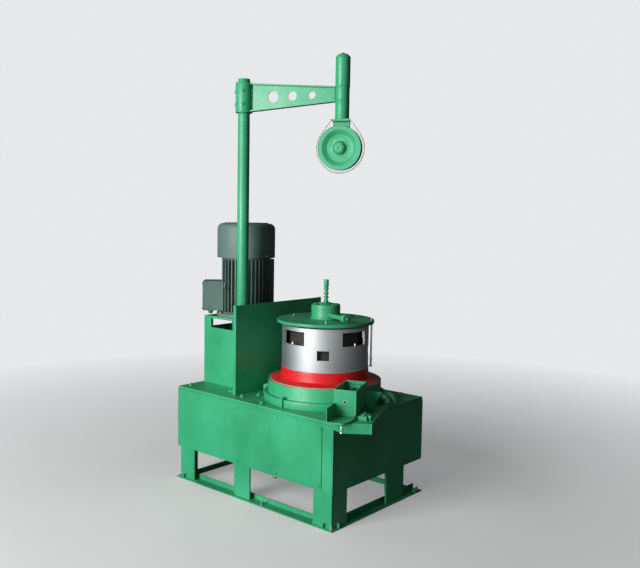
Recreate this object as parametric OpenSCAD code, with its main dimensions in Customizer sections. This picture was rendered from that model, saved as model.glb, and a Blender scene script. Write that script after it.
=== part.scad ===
// One block of a pulley type wire drawing machine, in millimetres.
// The origin is on the floor under the drum's axis. +Z is up, the operator stands on the -Y side,
// and the wire runs from the -X end to the +X end.

/* [Base frame] */
// How far the table reaches beyond the drum seat, at the front and at both ends
table_margin = 66; // [58:2:120]
// How far the table reaches beyond the motor stool, at the rear
rear_margin = 16; // [10:2:80]
// Height of the underside of the housing above the floor
leg_h = 222; // [120:2:320]
// How far the floor ring stands out beyond the housing
ring_out = 8; // [0:1:30]
// Width of the flat leg of the floor ring's angle iron
ring_w = 75; // [50:1:100]
// Height of the upright leg of the floor ring's angle iron
ring_h = 36; // [20:1:60]
// Thickness of the floor ring's angle iron
ring_t = 8; // [5:1:14]
// Width of a corner leg plate
leg_w = 142; // [90:1:180]
// Width of the broad leg plate under the right half
leg_broad_w = 190; // [120:2:260]
// Thickness of the leg plates
leg_t = 12; // [8:1:20]
// How far the leg plates stand in from the housing's faces
leg_in = 12; // [4:1:30]
// Distance from the right end to the broad leg
leg_right_in = 180; // [60:5:240]
// Distance from the drum axis to the outer edge of the middle legs
leg_mid_y = 372; // [260:2:420]

/* [Housing] */
// Height of the housing, from its floor to the underside of the table
housing_h = 398; // [300:2:500]
// Thickness of the housing's plates
wall_t = 10; // [5:1:16]
// Thickness of the table plate
table_t = 20; // [12:1:40]
// Width of the cover plate on the wire inlet end
cover_w = 716; // [500:2:780]
// How far the cover plate's middle is to the front of the drum's axis
cover_off = 20; // [0:2:60]
// Height of the cover plate
cover_h = 372; // [260:2:380]
// Thickness of the cover plate
cover_t = 6; // [2:0.5:8]

/* [Guard plate] */
// Height of the guard plate above the table
guard_h = 588; // [400:4:800]
// Distance from the drum seat to the front face of the guard plate
guard_clear = 34; // [20:1:60]
// Distance from the drum axis to the guard plate's inlet end
guard_left = 390; // [340:2:440]
// Distance from the drum axis to the guard plate's outlet end
guard_right = 452; // [360:2:455]
// Thickness of the guard plate
guard_t = 6; // [4:1:10]
// Depth of the folded ends of the guard plate
guard_fold = 26; // [12:1:40]

/* [Drum seat] */
// Diameter of the seat's bottom flange
seat_flange_d = 788; // [740:2:830]
// Height of the seat's bottom flange
seat_flange_h = 46; // [20:1:60]
// Diameter of the seat's upper ring
seat_ring_d = 732; // [700:2:736]
// Height of the seat's upper ring
seat_ring_h = 82; // [60:1:100]
// Width of the seat's rim round the drum's flange
seat_rim_w = 6; // [5:1:12]
// Depth of the rebate in which the drum's flange turns
seat_rim_h = 20; // [12:1:30]
// Diameter of the bearing column inside the seat
seat_column_d = 190; // [140:2:240]

/* [Drum] */
// Diameter of the drawing drum
drum_d = 560; // [520:2:580]
// Height of the drum's bright shell
drum_shell_h = 271; // [240:1:300]
// Wall thickness of the drum's shell
drum_wall = 12; // [8:1:20]
// Height of the coloured foot of the drum
drum_foot_h = 97; // [80:1:120]
// How far the foot stands out beyond the shell
drum_foot_out = 6; // [2:0.5:10]
// Radius between the foot and its flange
drum_foot_r = 14; // [8:1:20]
// Thickness of the flange at its edge
drum_flange_t = 18; // [12:1:24]
// How much the flange rises from its edge to the foot
drum_flange_rise = 10; // [4:1:16]
// Running gap between the seat and the drum's flange, below and around it
drum_gap = 6; // [5:1:8]
// How far the drum's boss stands out beyond the bearing column
drum_boss_wall = 20; // [12:1:30]
// Diameter of the drum's inner core
drum_core_d = 480; // [400:5:500]
// Width of a wide window along the drum's wall, in degrees
window_wide = 40; // [20:1:50]
// Height of a wide window
window_wide_h = 86; // [50:1:94]
// Height of the wide windows' upper edge below the drum's top
window_wide_drop = 24; // [16:1:30]
// Width of a narrow window along the drum's wall, in degrees
window_narrow = 15.5; // [8:0.5:24]
// Height of a narrow window
window_narrow_h = 60; // [30:1:66]
// Height of the narrow windows' lower edge above the foot
window_narrow_rise = 77; // [50:1:86]
// Direction of the first wide window, in degrees
window_dir = 172.5; // [135:0.5:215]

/* [Flyer] */
// Diameter of the flyer disc
flyer_d = 628; // [600:2:660]
// Thickness of the flyer disc
flyer_t = 20; // [12:1:30]
// Running gap between the drum's top and the flyer disc
flyer_gap = 12; // [8:1:20]
// Diameter of the hub's foot ring
hub_foot_d = 200; // [190:2:240]
// Height of the hub's foot ring
hub_foot_h = 12; // [8:1:20]
// Diameter of the hub
hub_d = 186; // [150:2:188]
// Height of the hub above its foot ring
hub_h = 82; // [60:1:100]
// Diameter of the spindle
spindle_d = 22; // [16:1:26]
// Height of the spindle above the hub
spindle_h = 159; // [120:1:200]
// Diameter of the spindle's head
spindle_head_d = 32; // [28:1:40]
// Height of the spindle's head
spindle_head_h = 50; // [30:1:70]
// Thickness of the rings on the spindle
spindle_ring_t = 13; // [8:1:16]
// Direction of the lever, in degrees
lever_dir = 251; // [230:1:280]
// How far the lever is moved to the side of the drum's axis
lever_off = 25; // [0:1:40]
// Distance along the lever from the drum's axis to the guide roller
lever_reach = 270; // [240:1:274]
// Width of the lever
lever_w = 26; // [18:1:34]
// Thickness of the lever
lever_t = 26; // [16:1:30]
// Height of the lever above the hub's foot
lever_lift = 9; // [7:1:20]
// Diameter of the guide roller on the lever
roller_d = 56; // [40:1:58]
// Width of the guide roller
roller_w = 26; // [16:1:28]
// Diameter of the guide roller's pin
roller_pin_d = 12; // [8:1:16]
// Diameter of the hanging rod
rod_d = 12; // [8:1:16]
// Distance from the drum axis to the hanging rod
rod_reach = 299; // [296:1:306]
// Direction of the hanging rod, in degrees
rod_dir = 300; // [280:1:312]
// How far the rod hangs below the flyer disc
rod_drop = 280; // [160:1:280]

/* [Post and arm] */
// Distance from the drum axis to the post, along the wire line
post_x = -285; // [-330:1:-270]
// Distance from the guard plate to the post
post_clear = 8; // [4:1:20]
// Diameter of the post
post_d = 76; // [60:1:84]
// Wall thickness of the post
post_wall = 6; // [4:1:10]
// Length of the post's foot plate
foot_l = 100; // [84:2:104]
// Thickness of the post's foot plate
foot_t = 12; // [8:1:20]
// How far the post stands out above the arm's collar
post_out = 26; // [10:1:60]
// Outer diameter of the collar that clamps the arm to the post
collar_d = 108; // [100:1:130]
// Height of the collar
collar_h = 186; // [140:1:200]
// Height of the collar's underside above the floor
collar_z = 2468; // [2300:1:2490]
// Distance from the drum axis to the pulley's stem, along the wire line
stem_x = 0; // [-30:1:40]
// Distance from the drum axis to the pulley's stem, to the front
stem_y = -104; // [-160:1:-60]
// Height of the beam at its outer end
beam_end_h = 88; // [60:1:100]
// Rise of the beam's lower edge from the collar to the outer end
beam_rise = 60; // [30:1:80]
// Width of the beam's flanges
beam_w = 46; // [30:1:60]
// Thickness of the beam's web and flanges
beam_t = 8; // [5:1:10]
// Distance from the post's axis to the first lightening hole
beam_hole_first = 197; // [180:1:210]
// Distance from one lightening hole to the next
beam_hole_pitch = 128; // [110:1:136]
// Diameter of the lightening hole nearest the post
beam_hole_d = 70; // [40:1:74]
// How much each next lightening hole is smaller
beam_hole_step = 12; // [6:1:16]

/* [Overhead pulley] */
// Outer diameter of the sleeve at the arm's end
sleeve_d = 88; // [80:1:100]
// Outer diameter of the pulley's stem below the sleeve
stem_d = 88; // [70:1:96]
// Length of the stem below the sleeve
stem_h = 115; // [80:1:140]
// Diameter of the swivel pin inside the sleeve
swivel_pin_d = 40; // [28:1:50]
// Diameter of the spring housing above the sleeve
spring_d = 92; // [84:1:104]
// Height of the spring housing
spring_h = 200; // [140:1:240]
// Diameter of the pulley wheel
wheel_d = 276; // [260:2:296]
// Width of the pulley wheel's rim
wheel_w = 44; // [34:1:50]
// Depth of the groove in the wheel's rim
groove_d = 14; // [8:1:18]
// Height of the rim, from the wheel's outside to its sloping inner side
wheel_rim = 26; // [20:1:40]
// Width of the rim's sloping inner side, down to the web
wheel_slope = 28; // [16:1:30]
// How far the wheel's boss stands out beyond its rim
hub_out = 6; // [4:1:10]
// Distance from the stem's axis to the wheel's middle
wheel_off = 42; // [38:1:50]
// Height of the wheel's centre below the stem
wheel_drop = 178; // [166:1:200]
// Diameter of the wheel's axle
axle_d = 30; // [20:1:36]
// Thickness of the pulley's bracket
bracket_t = 12; // [8:1:14]
// Width of the pulley's bracket plate
bracket_w = 116; // [100:1:130]
// Diameter of the rod that guards the wheel
guard_rod_d = 8; // [6:1:10]
// Running gap between the wheel and the guard rod
guard_rod_gap = 10; // [6:1:14]

/* [Motor] */
// Distance from the drum axis to the motor's axis, along the wire line
motor_x = -40; // [-60:1:60]
// Distance from the guard plate to the motor stool
stool_clear = 66; // [40:1:100]
// Diameter of the fan cowl
cowl_d = 400; // [360:2:404]
// Height of the fan cowl
cowl_h = 236; // [180:2:280]
// Radius of the fan cowl's upper edge
cowl_edge_r = 40; // [20:2:60]
// Diameter of the motor's barrel without its fins
barrel_d = 336; // [300:2:350]
// Height of the finned barrel
barrel_h = 384; // [340:2:440]
// Height of the cooling fins beyond the barrel
fin_h = 28; // [14:1:30]
// Thickness of a cooling fin
fin_t = 5; // [4:0.5:8]
// Number of cooling fins round the barrel
fin_count = 44; // [24:2:52]
// Width of the terminal box
terminal_w = 150; // [100:2:180]
// Height of the terminal box
terminal_h = 204; // [120:2:240]
// Height of the terminal box above the motor's flange
terminal_z = 16; // [10:2:80]
// Distance from the motor's axis to the terminal box's cover
terminal_reach = 288; // [240:2:300]
// Direction of the terminal box, in degrees
terminal_dir = 135; // [90:1:200]
// Diameter of the motor's mounting flange
motor_flange_d = 404; // [380:2:410]
// Thickness of the motor's mounting flange
motor_flange_t = 24; // [16:1:30]
// Height of the motor stool above the table
stool_h = 471; // [380:1:560]
// Width of the motor stool
stool_w = 404; // [380:2:410]
// Thickness of the motor stool's plates
stool_t = 16; // [10:1:20]
// Height of the slots below the stool's top plate
slot_h = 64; // [30:2:100]
// Diameter of the shaft housing inside the stool
shaft_housing_d = 190; // [120:5:260]

/* [Die side] */
// Direction of the wire line through the die box, in degrees
die_dir = 24; // [18:1:30]
// Distance from the drum axis to the wire line
die_off = 286; // [284:1:296]
// Distance along the wire line from the drum axis to the soap box's far wall
box_end = 300; // [298:1:330]
// Length of the soap box
box_len = 266; // [200:2:290]
// Width of the soap box
box_w = 134; // [120:1:140]
// Height of the soap box
box_h = 153; // [120:1:170]
// Wall thickness of the soap box
box_t = 6; // [4:1:10]
// Height of the soap box's floor above the table
box_rise = 35; // [28:1:44]
// Diameter of the wire inlet hole
inlet_d = 14; // [8:1:30]
// Height of the wire inlet hole above the box's floor
inlet_z = 83; // [50:1:100]
// Diameter of the outlet hole behind the die
outlet_d = 36; // [20:1:50]
// Height of the outlet hole above the box's floor
outlet_z = 100; // [60:1:110]
// Radius of the box's lower corners
box_corner_r = 20; // [10:1:30]
// Width of the die holder
holder_w = 70; // [50:2:80]
// Thickness of the die holder
holder_t = 30; // [16:1:40]
// Length of the tray before the soap box
tray_len = 150; // [100:1:176]
// Thickness of the tray
tray_t = 12; // [8:1:16]
// Height of the tray's cheek plate
cheek_h = 75; // [50:1:110]
// Width at its top of the wing plate at the soap box's far end
wing_w = 91; // [60:1:110]
// Width of the wing plate at its bottom
wing_foot_w = 42; // [20:1:60]
// Height of the wing plate
wing_h = 95; // [70:1:120]
// Thickness of the wing plate
wing_t = 10; // [6:1:14]
// Distance along the table's front edge from the drum axis to the first water elbow
elbow_x = 120; // [110:1:150]
// Distance between the two water elbows
elbow_pitch = 64; // [56:1:90]
// Diameter of the water elbows
elbow_d = 50; // [30:2:50]
// Height of the water elbows above the table
elbow_h = 70; // [60:1:90]
// How far the shelf's tip stands out from the housing's front
shelf_tip_out = 217; // [180:1:240]
// Distance of the shelf's tip from the housing's inlet end, along the wire
shelf_tip_in = 72; // [40:1:90]
// How far the shelf's outer corner stands out from the housing's front
shelf_bend_out = 79; // [50:1:100]
// How far the shelf's outer corner stands out beyond the housing's inlet end
shelf_bend_x = 28; // [10:1:40]
// Height of the shelf's lips
shelf_lip = 60; // [40:1:90]
// Thickness of the shelf and its lip
shelf_t = 10; // [6:1:14]
// Length of the clamp block on the shelf
clamp_l = 86; // [60:2:100]
// Width of the clamp block
clamp_w = 50; // [30:2:60]
// Height of the clamp block
clamp_h = 24; // [12:2:40]

/* [Hidden] */
$fn = 96;

// clearance between faces that stay apart, running clearance of shafts, and overlap of cutters
fit = 0.3;
run = 0.1;
weld = 1;

green = [0.13, 0.55, 0.36];
green_dark = [0.10, 0.42, 0.28];
steel = [0.66, 0.67, 0.68];
red = [0.80, 0.10, 0.10];
motor_green = [0.23, 0.36, 0.34];

seat_reach = max(seat_flange_d, seat_ring_d) / 2;
base_w = 2 * (seat_reach + table_margin);
base_front = seat_reach + table_margin;
guard_y = seat_reach + guard_clear;
guard_back = guard_y + guard_t;
post_y = guard_back + post_clear + post_d / 2;
motor_y = guard_back + stool_clear + stool_w / 2;
base_rear = motor_y + stool_w / 2 + rear_margin;
base_len = base_front + base_rear;
table_z = leg_h + housing_h + table_t;
plate_z = leg_h + housing_h;

seat_ring_z = table_z + seat_flange_h;
seat_top = seat_ring_z + seat_ring_h;
drum_z = seat_top - seat_rim_h + drum_gap;
drum_flange_d = seat_ring_d - 2 * (seat_rim_w + drum_gap);
shell_z = drum_z + drum_foot_h;
drum_top = shell_z + drum_shell_h;
flyer_z = drum_top + flyer_gap;
flyer_top = flyer_z + flyer_t;
hub_z = flyer_top + hub_foot_h;
hub_top = hub_z + hub_h;
roller_z = hub_z + lever_lift + lever_t / 2;

shelf_z = table_z + box_rise - tray_t;
box_start = box_end + box_len;

post_top = collar_z + collar_h + post_out;
arm_dx = stem_x - post_x;
arm_dy = stem_y - post_y;
arm_len = sqrt(arm_dx * arm_dx + arm_dy * arm_dy);
arm_dir = atan2(arm_dy, arm_dx);
sleeve_z = collar_z + beam_rise;
stem_z = sleeve_z - stem_h;
wheel_z = stem_z - wheel_drop;
wheel_r = wheel_d / 2;
guard_r = wheel_r + guard_rod_gap + guard_rod_d / 2;
hub_half = wheel_w / 2 + hub_out;
strap_y = fit + hub_half - wheel_off;

stool_z = table_z;
motor_z = stool_z + stool_h;
barrel_z = motor_z + motor_flange_t;
cowl_z = barrel_z + barrel_h;

// a box from its low corner to its high corner
module span_box(low, high) {
  translate(low) cube(high - low);
}

// one straight angle iron: flat leg on the floor with its outer edge at y = 0, upright leg inside
module angle_bar(length) {
  cube([length, ring_w, ring_t]);
  translate([0, ring_w - ring_t, 0]) cube([length, ring_t, ring_h]);
}

// angle irons along the front, the rear and the two ends
module ring_sides() {
  ring_l = base_len + 2 * ring_out;
  ring_b = base_w + 2 * ring_out;
  translate([-ring_b / 2, -base_front - ring_out, 0]) angle_bar(ring_b);
  translate([ring_b / 2, base_rear + ring_out, 0]) rotate(180) angle_bar(ring_b);
  translate([ring_b / 2, -base_front - ring_out, 0]) rotate(90) angle_bar(ring_l);
  translate([-ring_b / 2, base_rear + ring_out, 0]) rotate(-90) angle_bar(ring_l);
}

module base_ring() {
  color(green) ring_sides();
}

// one leg of two plates: one along x and one along y, both starting at the corner point
module leg_angle(corner, size) {
  translate([corner.x, corner.y, ring_t]) {
    span_box([min(0, size.x), min(0, leg_t * sign(size.y)), 0],
             [max(0, size.x), max(0, leg_t * sign(size.y)), leg_h - ring_t]);
    span_box([min(0, leg_t * sign(size.x)), min(0, size.y), 0],
             [max(0, leg_t * sign(size.x)), max(0, size.y), leg_h - ring_t]);
  }
}

module legs() {
  left = -base_w / 2 + leg_in;
  right = base_w / 2 - leg_in;
  front = -base_front + leg_in;
  rear = base_rear - leg_in;
  broad = base_w / 2 - leg_right_in;
  color(green) difference() {
    union() {
      leg_angle([left, front], [leg_w, leg_w]);
      leg_angle([broad, front], [-leg_broad_w, leg_w]);
      leg_angle([left, leg_mid_y], [ring_w - leg_in, -leg_w]);
      leg_angle([right, leg_mid_y], [leg_in - ring_w, -leg_w]);
      leg_angle([left, rear], [leg_w, -leg_w]);
      leg_angle([right, rear], [-leg_w, -leg_w]);
    }
    ring_sides();
  }
}

module housing_floor() {
  color(green_dark)
    span_box([-base_w / 2, -base_front, leg_h], [base_w / 2, base_rear, leg_h + wall_t]);
}

module housing_front() {
  color(green)
    span_box([-base_w / 2, -base_front, leg_h + wall_t],
             [base_w / 2, -base_front + wall_t, plate_z]);
}

module housing_rear() {
  color(green)
    span_box([-base_w / 2, base_rear - wall_t, leg_h + wall_t],
             [base_w / 2, base_rear, plate_z]);
}

// the end walls stand between the front and the rear wall
module end_wall(x) {
  span_box([x, -base_front + wall_t, leg_h + wall_t],
           [x + wall_t, base_rear - wall_t, plate_z]);
}

module housing_inlet_end() {
  color(green) end_wall(-base_w / 2);
}

module housing_outlet_end() {
  color(green) end_wall(base_w / 2 - wall_t);
}

module inlet_cover() {
  cover_z = leg_h + (housing_h - cover_h) / 2;
  color(green)
    translate([-base_w / 2 - cover_t, -cover_off - cover_w / 2, cover_z])
      cube([cover_t, cover_w, cover_h]);
}

module table_plate() {
  color(green)
    span_box([-base_w / 2, -base_front, plate_z], [base_w / 2, base_rear, table_z]);
}

module guard_plate() {
  color(green) {
    span_box([-guard_left, guard_y, table_z],
             [guard_right, guard_y + guard_t, table_z + guard_h]);
    span_box([-guard_left, guard_y, table_z],
             [-guard_left + guard_t, guard_y + guard_fold, table_z + guard_h]);
    span_box([guard_right - guard_t, guard_y, table_z],
             [guard_right, guard_y + guard_fold, table_z + guard_h]);
  }
}

function unit(v) = v / norm(v);
function inward(a, b) = let (d = unit(b - a)) [-d.y, d.x];
function corner_in(a, b, c, t) =
  let (m = inward(a, b), n = inward(b, c)) b + t * (m + n) / (1 + m * n);

// a closed outline, given counter-clockwise, moved inwards by t
function outline_in(points, t) = let (n = len(points))
  [for (i = [0 : n - 1]) corner_in(points[(i + n - 1) % n], points[i], points[(i + 1) % n], t)];

// shelf on the front wall that carries the soap box: a plate with a lip all round it
module guide_shelf() {
  tip = [shelf_tip_in - base_w / 2, -base_front - shelf_tip_out];
  outline = [[-base_w / 2, -base_front],
             [-base_w / 2 - shelf_bend_x, -base_front - shelf_bend_out],
             tip, [tip.x + shelf_tip_out / tan(die_dir), -base_front]];
  color(green) translate([0, 0, shelf_z - shelf_lip]) difference() {
    linear_extrude(shelf_lip) polygon(outline);
    translate([0, 0, -weld]) linear_extrude(shelf_lip - shelf_t + weld)
      polygon(outline_in(outline, shelf_t));
  }
}

// places its children on the wire line: x along the wire, y to the rear, z up from the box's floor
module on_wire_line() {
  translate([0, 0, table_z + box_rise]) rotate(die_dir) translate([0, -die_off, 0]) children();
}

// the room that the soap box and its tray take, grown on all sides
module tray_block(grow) {
  translate([-box_start - grow, -box_w / 2 - grow, -tray_t - grow])
    cube([box_len + 2 * grow, box_w + 2 * grow, tray_t + box_h + 2 * grow]);
}

// tray under the soap box and before it, with a rounded nose and a cheek on the drum's side
module die_tray() {
  nose_y = -box_w / 7;
  color(green) on_wire_line() {
    translate([0, 0, -tray_t]) linear_extrude(tray_t)
      polygon(concat(
        [[-box_end, -box_w / 2], [-box_end, box_w / 2], [-box_start - tray_len, box_w / 2]],
        [for (a = [0 : 15 : 90])
          [-box_start - tray_len * cos(a), nose_y - (box_w / 2 + nose_y) * sin(a)]]));
    translate([-box_start - tray_len, box_w / 2 - box_t, 0]) cube([tray_len, box_t, cheek_h]);
  }
}

// the soap box's outline across the wire, with rounded lower corners, grown by a margin
module box_section(grow) {
  half = box_w / 2 + grow;
  round_r = box_corner_r + grow;
  polygon(concat(
    [[half, box_h + weld], [-half, box_h + weld]],
    [for (a = [180 : 15 : 270])
      [-half + round_r + round_r * cos(a), round_r - grow + round_r * sin(a)]],
    [for (a = [270 : 15 : 360])
      [half - round_r + round_r * cos(a), round_r - grow + round_r * sin(a)]]));
}

// open box round the wire, with an inlet hole and a larger outlet hole for the die
module soap_box() {
  color(green) on_wire_line() translate([-box_start, 0, 0]) difference() {
    rotate([90, 0, 90]) linear_extrude(box_len) box_section(0);
    translate([box_t, 0, 0]) rotate([90, 0, 90]) linear_extrude(box_len - 2 * box_t) box_section(-box_t);
    translate([-weld, 0, inlet_z])
      rotate([0, 90, 0]) cylinder(d = inlet_d, h = box_t + 2 * weld);
    translate([box_len - box_t - weld, 0, outlet_z])
      rotate([0, 90, 0]) cylinder(d = outlet_d, h = box_t + 2 * weld);
    translate([-weld, -box_w, box_h]) cube([box_len + 2 * weld, 2 * box_w, box_t]);
  }
}

// block inside the box's far wall that holds the die, with a lead-in cone
module die_holder() {
  lead = holder_t / 2;
  color(green) on_wire_line() translate([-box_end - box_t - holder_t, 0, 0]) difference() {
    translate([0, -holder_w / 2, box_t]) cube([holder_t, holder_w, outlet_z - box_t + holder_w / 2]);
    translate([-weld, 0, outlet_z]) rotate([0, 90, 0]) {
      cylinder(d = inlet_d, h = holder_t + 2 * weld);
      cylinder(d1 = outlet_d, d2 = inlet_d, h = lead);
    }
  }
}

// block on the shelf beside the tray
module die_clamp() {
  side_gap = 15;
  lead = 10;
  color(green) on_wire_line()
    translate([-box_start - lead, -box_w / 2 - side_gap - clamp_w, -tray_t])
      cube([clamp_l, clamp_w, clamp_h]);
}

// plate on the soap box's far end that flares out beyond its side
module box_wing() {
  lap = 50;
  color(green) on_wire_line() translate([-box_end, -box_w / 2, 0])
    rotate([90, 0, 90]) linear_extrude(wing_t)
      polygon([[-wing_foot_w, 0], [lap, 0], [lap, wing_h], [-wing_w, wing_h]]);
}

// water pipe that comes up at the table's edge and bends over into a sleeve on the drum seat
module water_elbow(i) {
  seat_gap = 1;
  sleeve_rim = 3;
  sleeve_lap = 6;
  bend_r = elbow_h - elbow_d / 2;
  inner_x = elbow_x - elbow_d / 2 - sleeve_rim;
  seat_edge = sqrt(seat_reach * seat_reach - inner_x * inner_x);
  color(green) difference() {
    translate([elbow_x + i * elbow_pitch, -seat_edge - seat_gap - bend_r + sleeve_lap, table_z]) {
      translate([0, bend_r, 0]) rotate([90, 0, -90]) rotate_extrude(angle = 90)
        translate([bend_r, 0]) circle(d = elbow_d);
      translate([0, bend_r - sleeve_lap, bend_r])
        rotate([-90, 0, 0]) cylinder(d = elbow_d + 2 * sleeve_rim, h = seat_reach / 2);
    }
    translate([0, 0, table_z - weld]) cylinder(d = seat_flange_d, h = seat_flange_h + weld);
    translate([0, 0, table_z]) cylinder(d = seat_ring_d, h = seat_flange_h + seat_ring_h);
  }
}

// round casting that carries the drum, notched for the soap box and its tray
module drum_seat() {
  ring_wall = 22;
  tray_gap = 3;
  floor_h = seat_ring_h - seat_rim_h;
  color(green) difference() {
    union() {
      translate([0, 0, table_z]) cylinder(d = seat_flange_d, h = seat_flange_h);
      translate([0, 0, seat_ring_z]) difference() {
        cylinder(d = seat_ring_d, h = seat_ring_h);
        cylinder(d = seat_ring_d - 2 * ring_wall, h = seat_ring_h);
        translate([0, 0, floor_h]) cylinder(d = seat_ring_d - 2 * seat_rim_w, h = seat_ring_h);
      }
      translate([0, 0, seat_ring_z]) cylinder(d = seat_column_d, h = floor_h + drum_gap - fit);
    }
    on_wire_line() tray_block(tray_gap);
  }
}

module post() {
  tube_h = post_top - table_z - foot_t;
  color(green) translate([post_x, post_y, table_z + foot_t]) difference() {
    cylinder(d = post_d, h = tube_h);
    translate([0, 0, -weld]) cylinder(d = post_d - 2 * post_wall, h = tube_h + weld - post_wall);
  }
}

// foot plate, flush with the post on the side of the motor stool
module post_foot() {
  color(green) translate([post_x + post_d / 2 - foot_l, post_y - post_d / 2, table_z])
    cube([foot_l, foot_l, foot_t]);
}

module arm_collar() {
  color(green) translate([post_x, post_y, collar_z]) difference() {
    cylinder(d = collar_d, h = collar_h);
    translate([0, 0, -weld]) cylinder(d = post_d + 2 * fit, h = collar_h + 2 * weld);
  }
}

// places its children at the post, with x along the arm
module along_arm() {
  translate([post_x, post_y, collar_z]) rotate(arm_dir) children();
}

// side outline of the beam between the post's and the stem's axes, thinned at both edges by inset
module beam_outline(inset) {
  polygon([[0, inset], [arm_len, beam_rise + inset],
           [arm_len, beam_rise + beam_end_h - inset], [0, collar_h - inset]]);
}

// height of the beam's middle above its lower corner, at a distance from the post's axis
function beam_mid(s) = collar_h / 2 + (beam_rise + beam_end_h / 2 - collar_h / 2) * s / arm_len;

// tapered beam with a web, two flanges and three lightening holes that shrink towards its end
module arm_beam() {
  hole_s = [for (i = [0 : 2]) beam_hole_first + i * beam_hole_pitch];
  cut_h = collar_h + 2 * weld;
  color(green) difference() {
    along_arm() rotate([90, 0, 0]) {
      linear_extrude(beam_t, center = true) difference() {
        beam_outline(0);
        for (i = [0 : 2])
          translate([hole_s[i], beam_mid(hole_s[i])])
            circle(d = beam_hole_d - i * beam_hole_step);
      }
      linear_extrude(beam_w, center = true) difference() {
        beam_outline(0);
        beam_outline(beam_t);
      }
    }
    translate([post_x, post_y, collar_z - weld]) cylinder(d = collar_d, h = cut_h);
    translate([stem_x, stem_y, collar_z - weld]) cylinder(d = sleeve_d, h = cut_h);
    translate([stem_x, stem_y, sleeve_z + beam_end_h]) cylinder(d = spring_d, h = cut_h);
  }
}

module arm_sleeve() {
  color(green) translate([stem_x, stem_y, sleeve_z]) difference() {
    cylinder(d = sleeve_d, h = beam_end_h);
    translate([0, 0, -weld]) cylinder(d = swivel_pin_d + 2 * run, h = beam_end_h + 2 * weld);
  }
}

// closed tube with a domed cap over the swivel pin's head
module spring_housing() {
  dome = 32;
  wall = 8;
  outer = spring_d / 2;
  color(green) translate([stem_x, stem_y, sleeve_z + beam_end_h]) rotate_extrude()
    polygon(concat(
      [[outer - wall, 0], [outer, 0]],
      [for (a = [0 : 15 : 90]) [outer - dome + dome * cos(a), spring_h - dome + dome * sin(a)]],
      [[0, spring_h], [0, spring_h - wall], [outer - dome, spring_h - wall],
       [outer - wall, spring_h - dome]]));
}

// closed box under the motor, with a slot in each side below its top plate
module motor_stool() {
  half = stool_w / 2;
  inner = stool_w - 2 * stool_t;
  slot_margin = 50;
  slot_w = stool_w - 2 * (stool_t + slot_margin);
  color(green) translate([motor_x, motor_y, stool_z]) difference() {
    translate([-half, -half, 0]) cube([stool_w, stool_w, stool_h]);
    translate([-inner / 2, -inner / 2, -weld]) cube([inner, inner, stool_h - stool_t + weld]);
    for (turn = [0, 90])
      rotate(turn) translate([-slot_w / 2, -half - weld, stool_h - stool_t - slot_h])
        cube([slot_w, stool_w + 2 * weld, slot_h]);
  }
}

// fixed housing of the upright shaft that runs from the motor down into the gearing
module shaft_housing() {
  color(green_dark) translate([motor_x, motor_y, stool_z])
    cylinder(d = shaft_housing_d, h = stool_h - stool_t);
}

module motor_flange() {
  color(motor_green) translate([motor_x, motor_y, motor_z])
    cylinder(d = motor_flange_d, h = motor_flange_t);
}

// barrel with upright fins, which leave room for the terminal box
module motor_barrel() {
  fin_end = 12;
  box_half = asin((terminal_w / 2 + fin_t) / (barrel_d / 2)) + 1;
  color(motor_green) translate([motor_x, motor_y, barrel_z]) {
    cylinder(d = barrel_d, h = barrel_h);
    for (i = [0 : fin_count - 1])
      if (abs(i * 360 / fin_count - terminal_dir) > box_half)
        rotate(i * 360 / fin_count)
          translate([barrel_d / 2 - weld, -fin_t / 2, fin_end])
            cube([fin_h + weld, fin_t, barrel_h - 2 * fin_end]);
  }
}

module fan_cowl() {
  color(motor_green) translate([motor_x, motor_y, cowl_z]) rotate_extrude()
    polygon(concat(
      [[0, 0], [cowl_d / 2, 0]],
      [for (a = [0 : 15 : 90])
        [cowl_d / 2 - cowl_edge_r * (1 - cos(a)), cowl_h - cowl_edge_r * (1 - sin(a))]],
      [[0, cowl_h]]));
}

module terminal_box() {
  color(motor_green) translate([motor_x, motor_y, barrel_z]) difference() {
    rotate(terminal_dir) translate([0, -terminal_w / 2, terminal_z])
      cube([terminal_reach, terminal_w, terminal_h]);
    translate([0, 0, -weld]) cylinder(d = barrel_d, h = barrel_h);
  }
}

// wedge shaped cutter for a window in the drum's wall
module window_cutter(dir, wide, low, tall) {
  rotate([0, 0, dir - wide / 2])
    translate([0, 0, low]) rotate_extrude(angle = wide)
      translate([drum_d / 2 - drum_wall - weld, 0]) square([drum_wall + 2 * weld, tall]);
}

module drum_shell() {
  window_step = 90;
  color(steel) translate([0, 0, shell_z]) difference() {
    cylinder(d = drum_d, h = drum_shell_h);
    translate([0, 0, -weld]) cylinder(d = drum_d - 2 * drum_wall, h = drum_shell_h + 2 * weld);
    for (i = [0 : 3]) {
      window_cutter(window_dir + i * window_step, window_wide,
                    drum_shell_h - window_wide_drop - window_wide_h, window_wide_h);
      window_cutter(window_dir + (i + 0.5) * window_step, window_narrow,
                    window_narrow_rise, window_narrow_h);
    }
  }
}

// coloured foot: an upright band that runs out into a flange with a rounded corner
module drum_foot() {
  band_r = drum_d / 2 + drum_foot_out;
  corner_z = drum_flange_t + drum_flange_rise + drum_foot_r;
  boss_r = seat_column_d / 2 + drum_boss_wall;
  edge = 5;
  color(red) translate([0, 0, drum_z]) rotate_extrude()
    polygon(concat(
      [[boss_r, 0], [drum_flange_d / 2, 0], [drum_flange_d / 2, drum_flange_t]],
      [for (a = [0 : 15 : 90])
        [band_r + drum_foot_r * (1 - sin(a)), corner_z - drum_foot_r * cos(a)]],
      [[band_r - edge, drum_foot_h], [boss_r, drum_foot_h]]));
}

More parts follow.
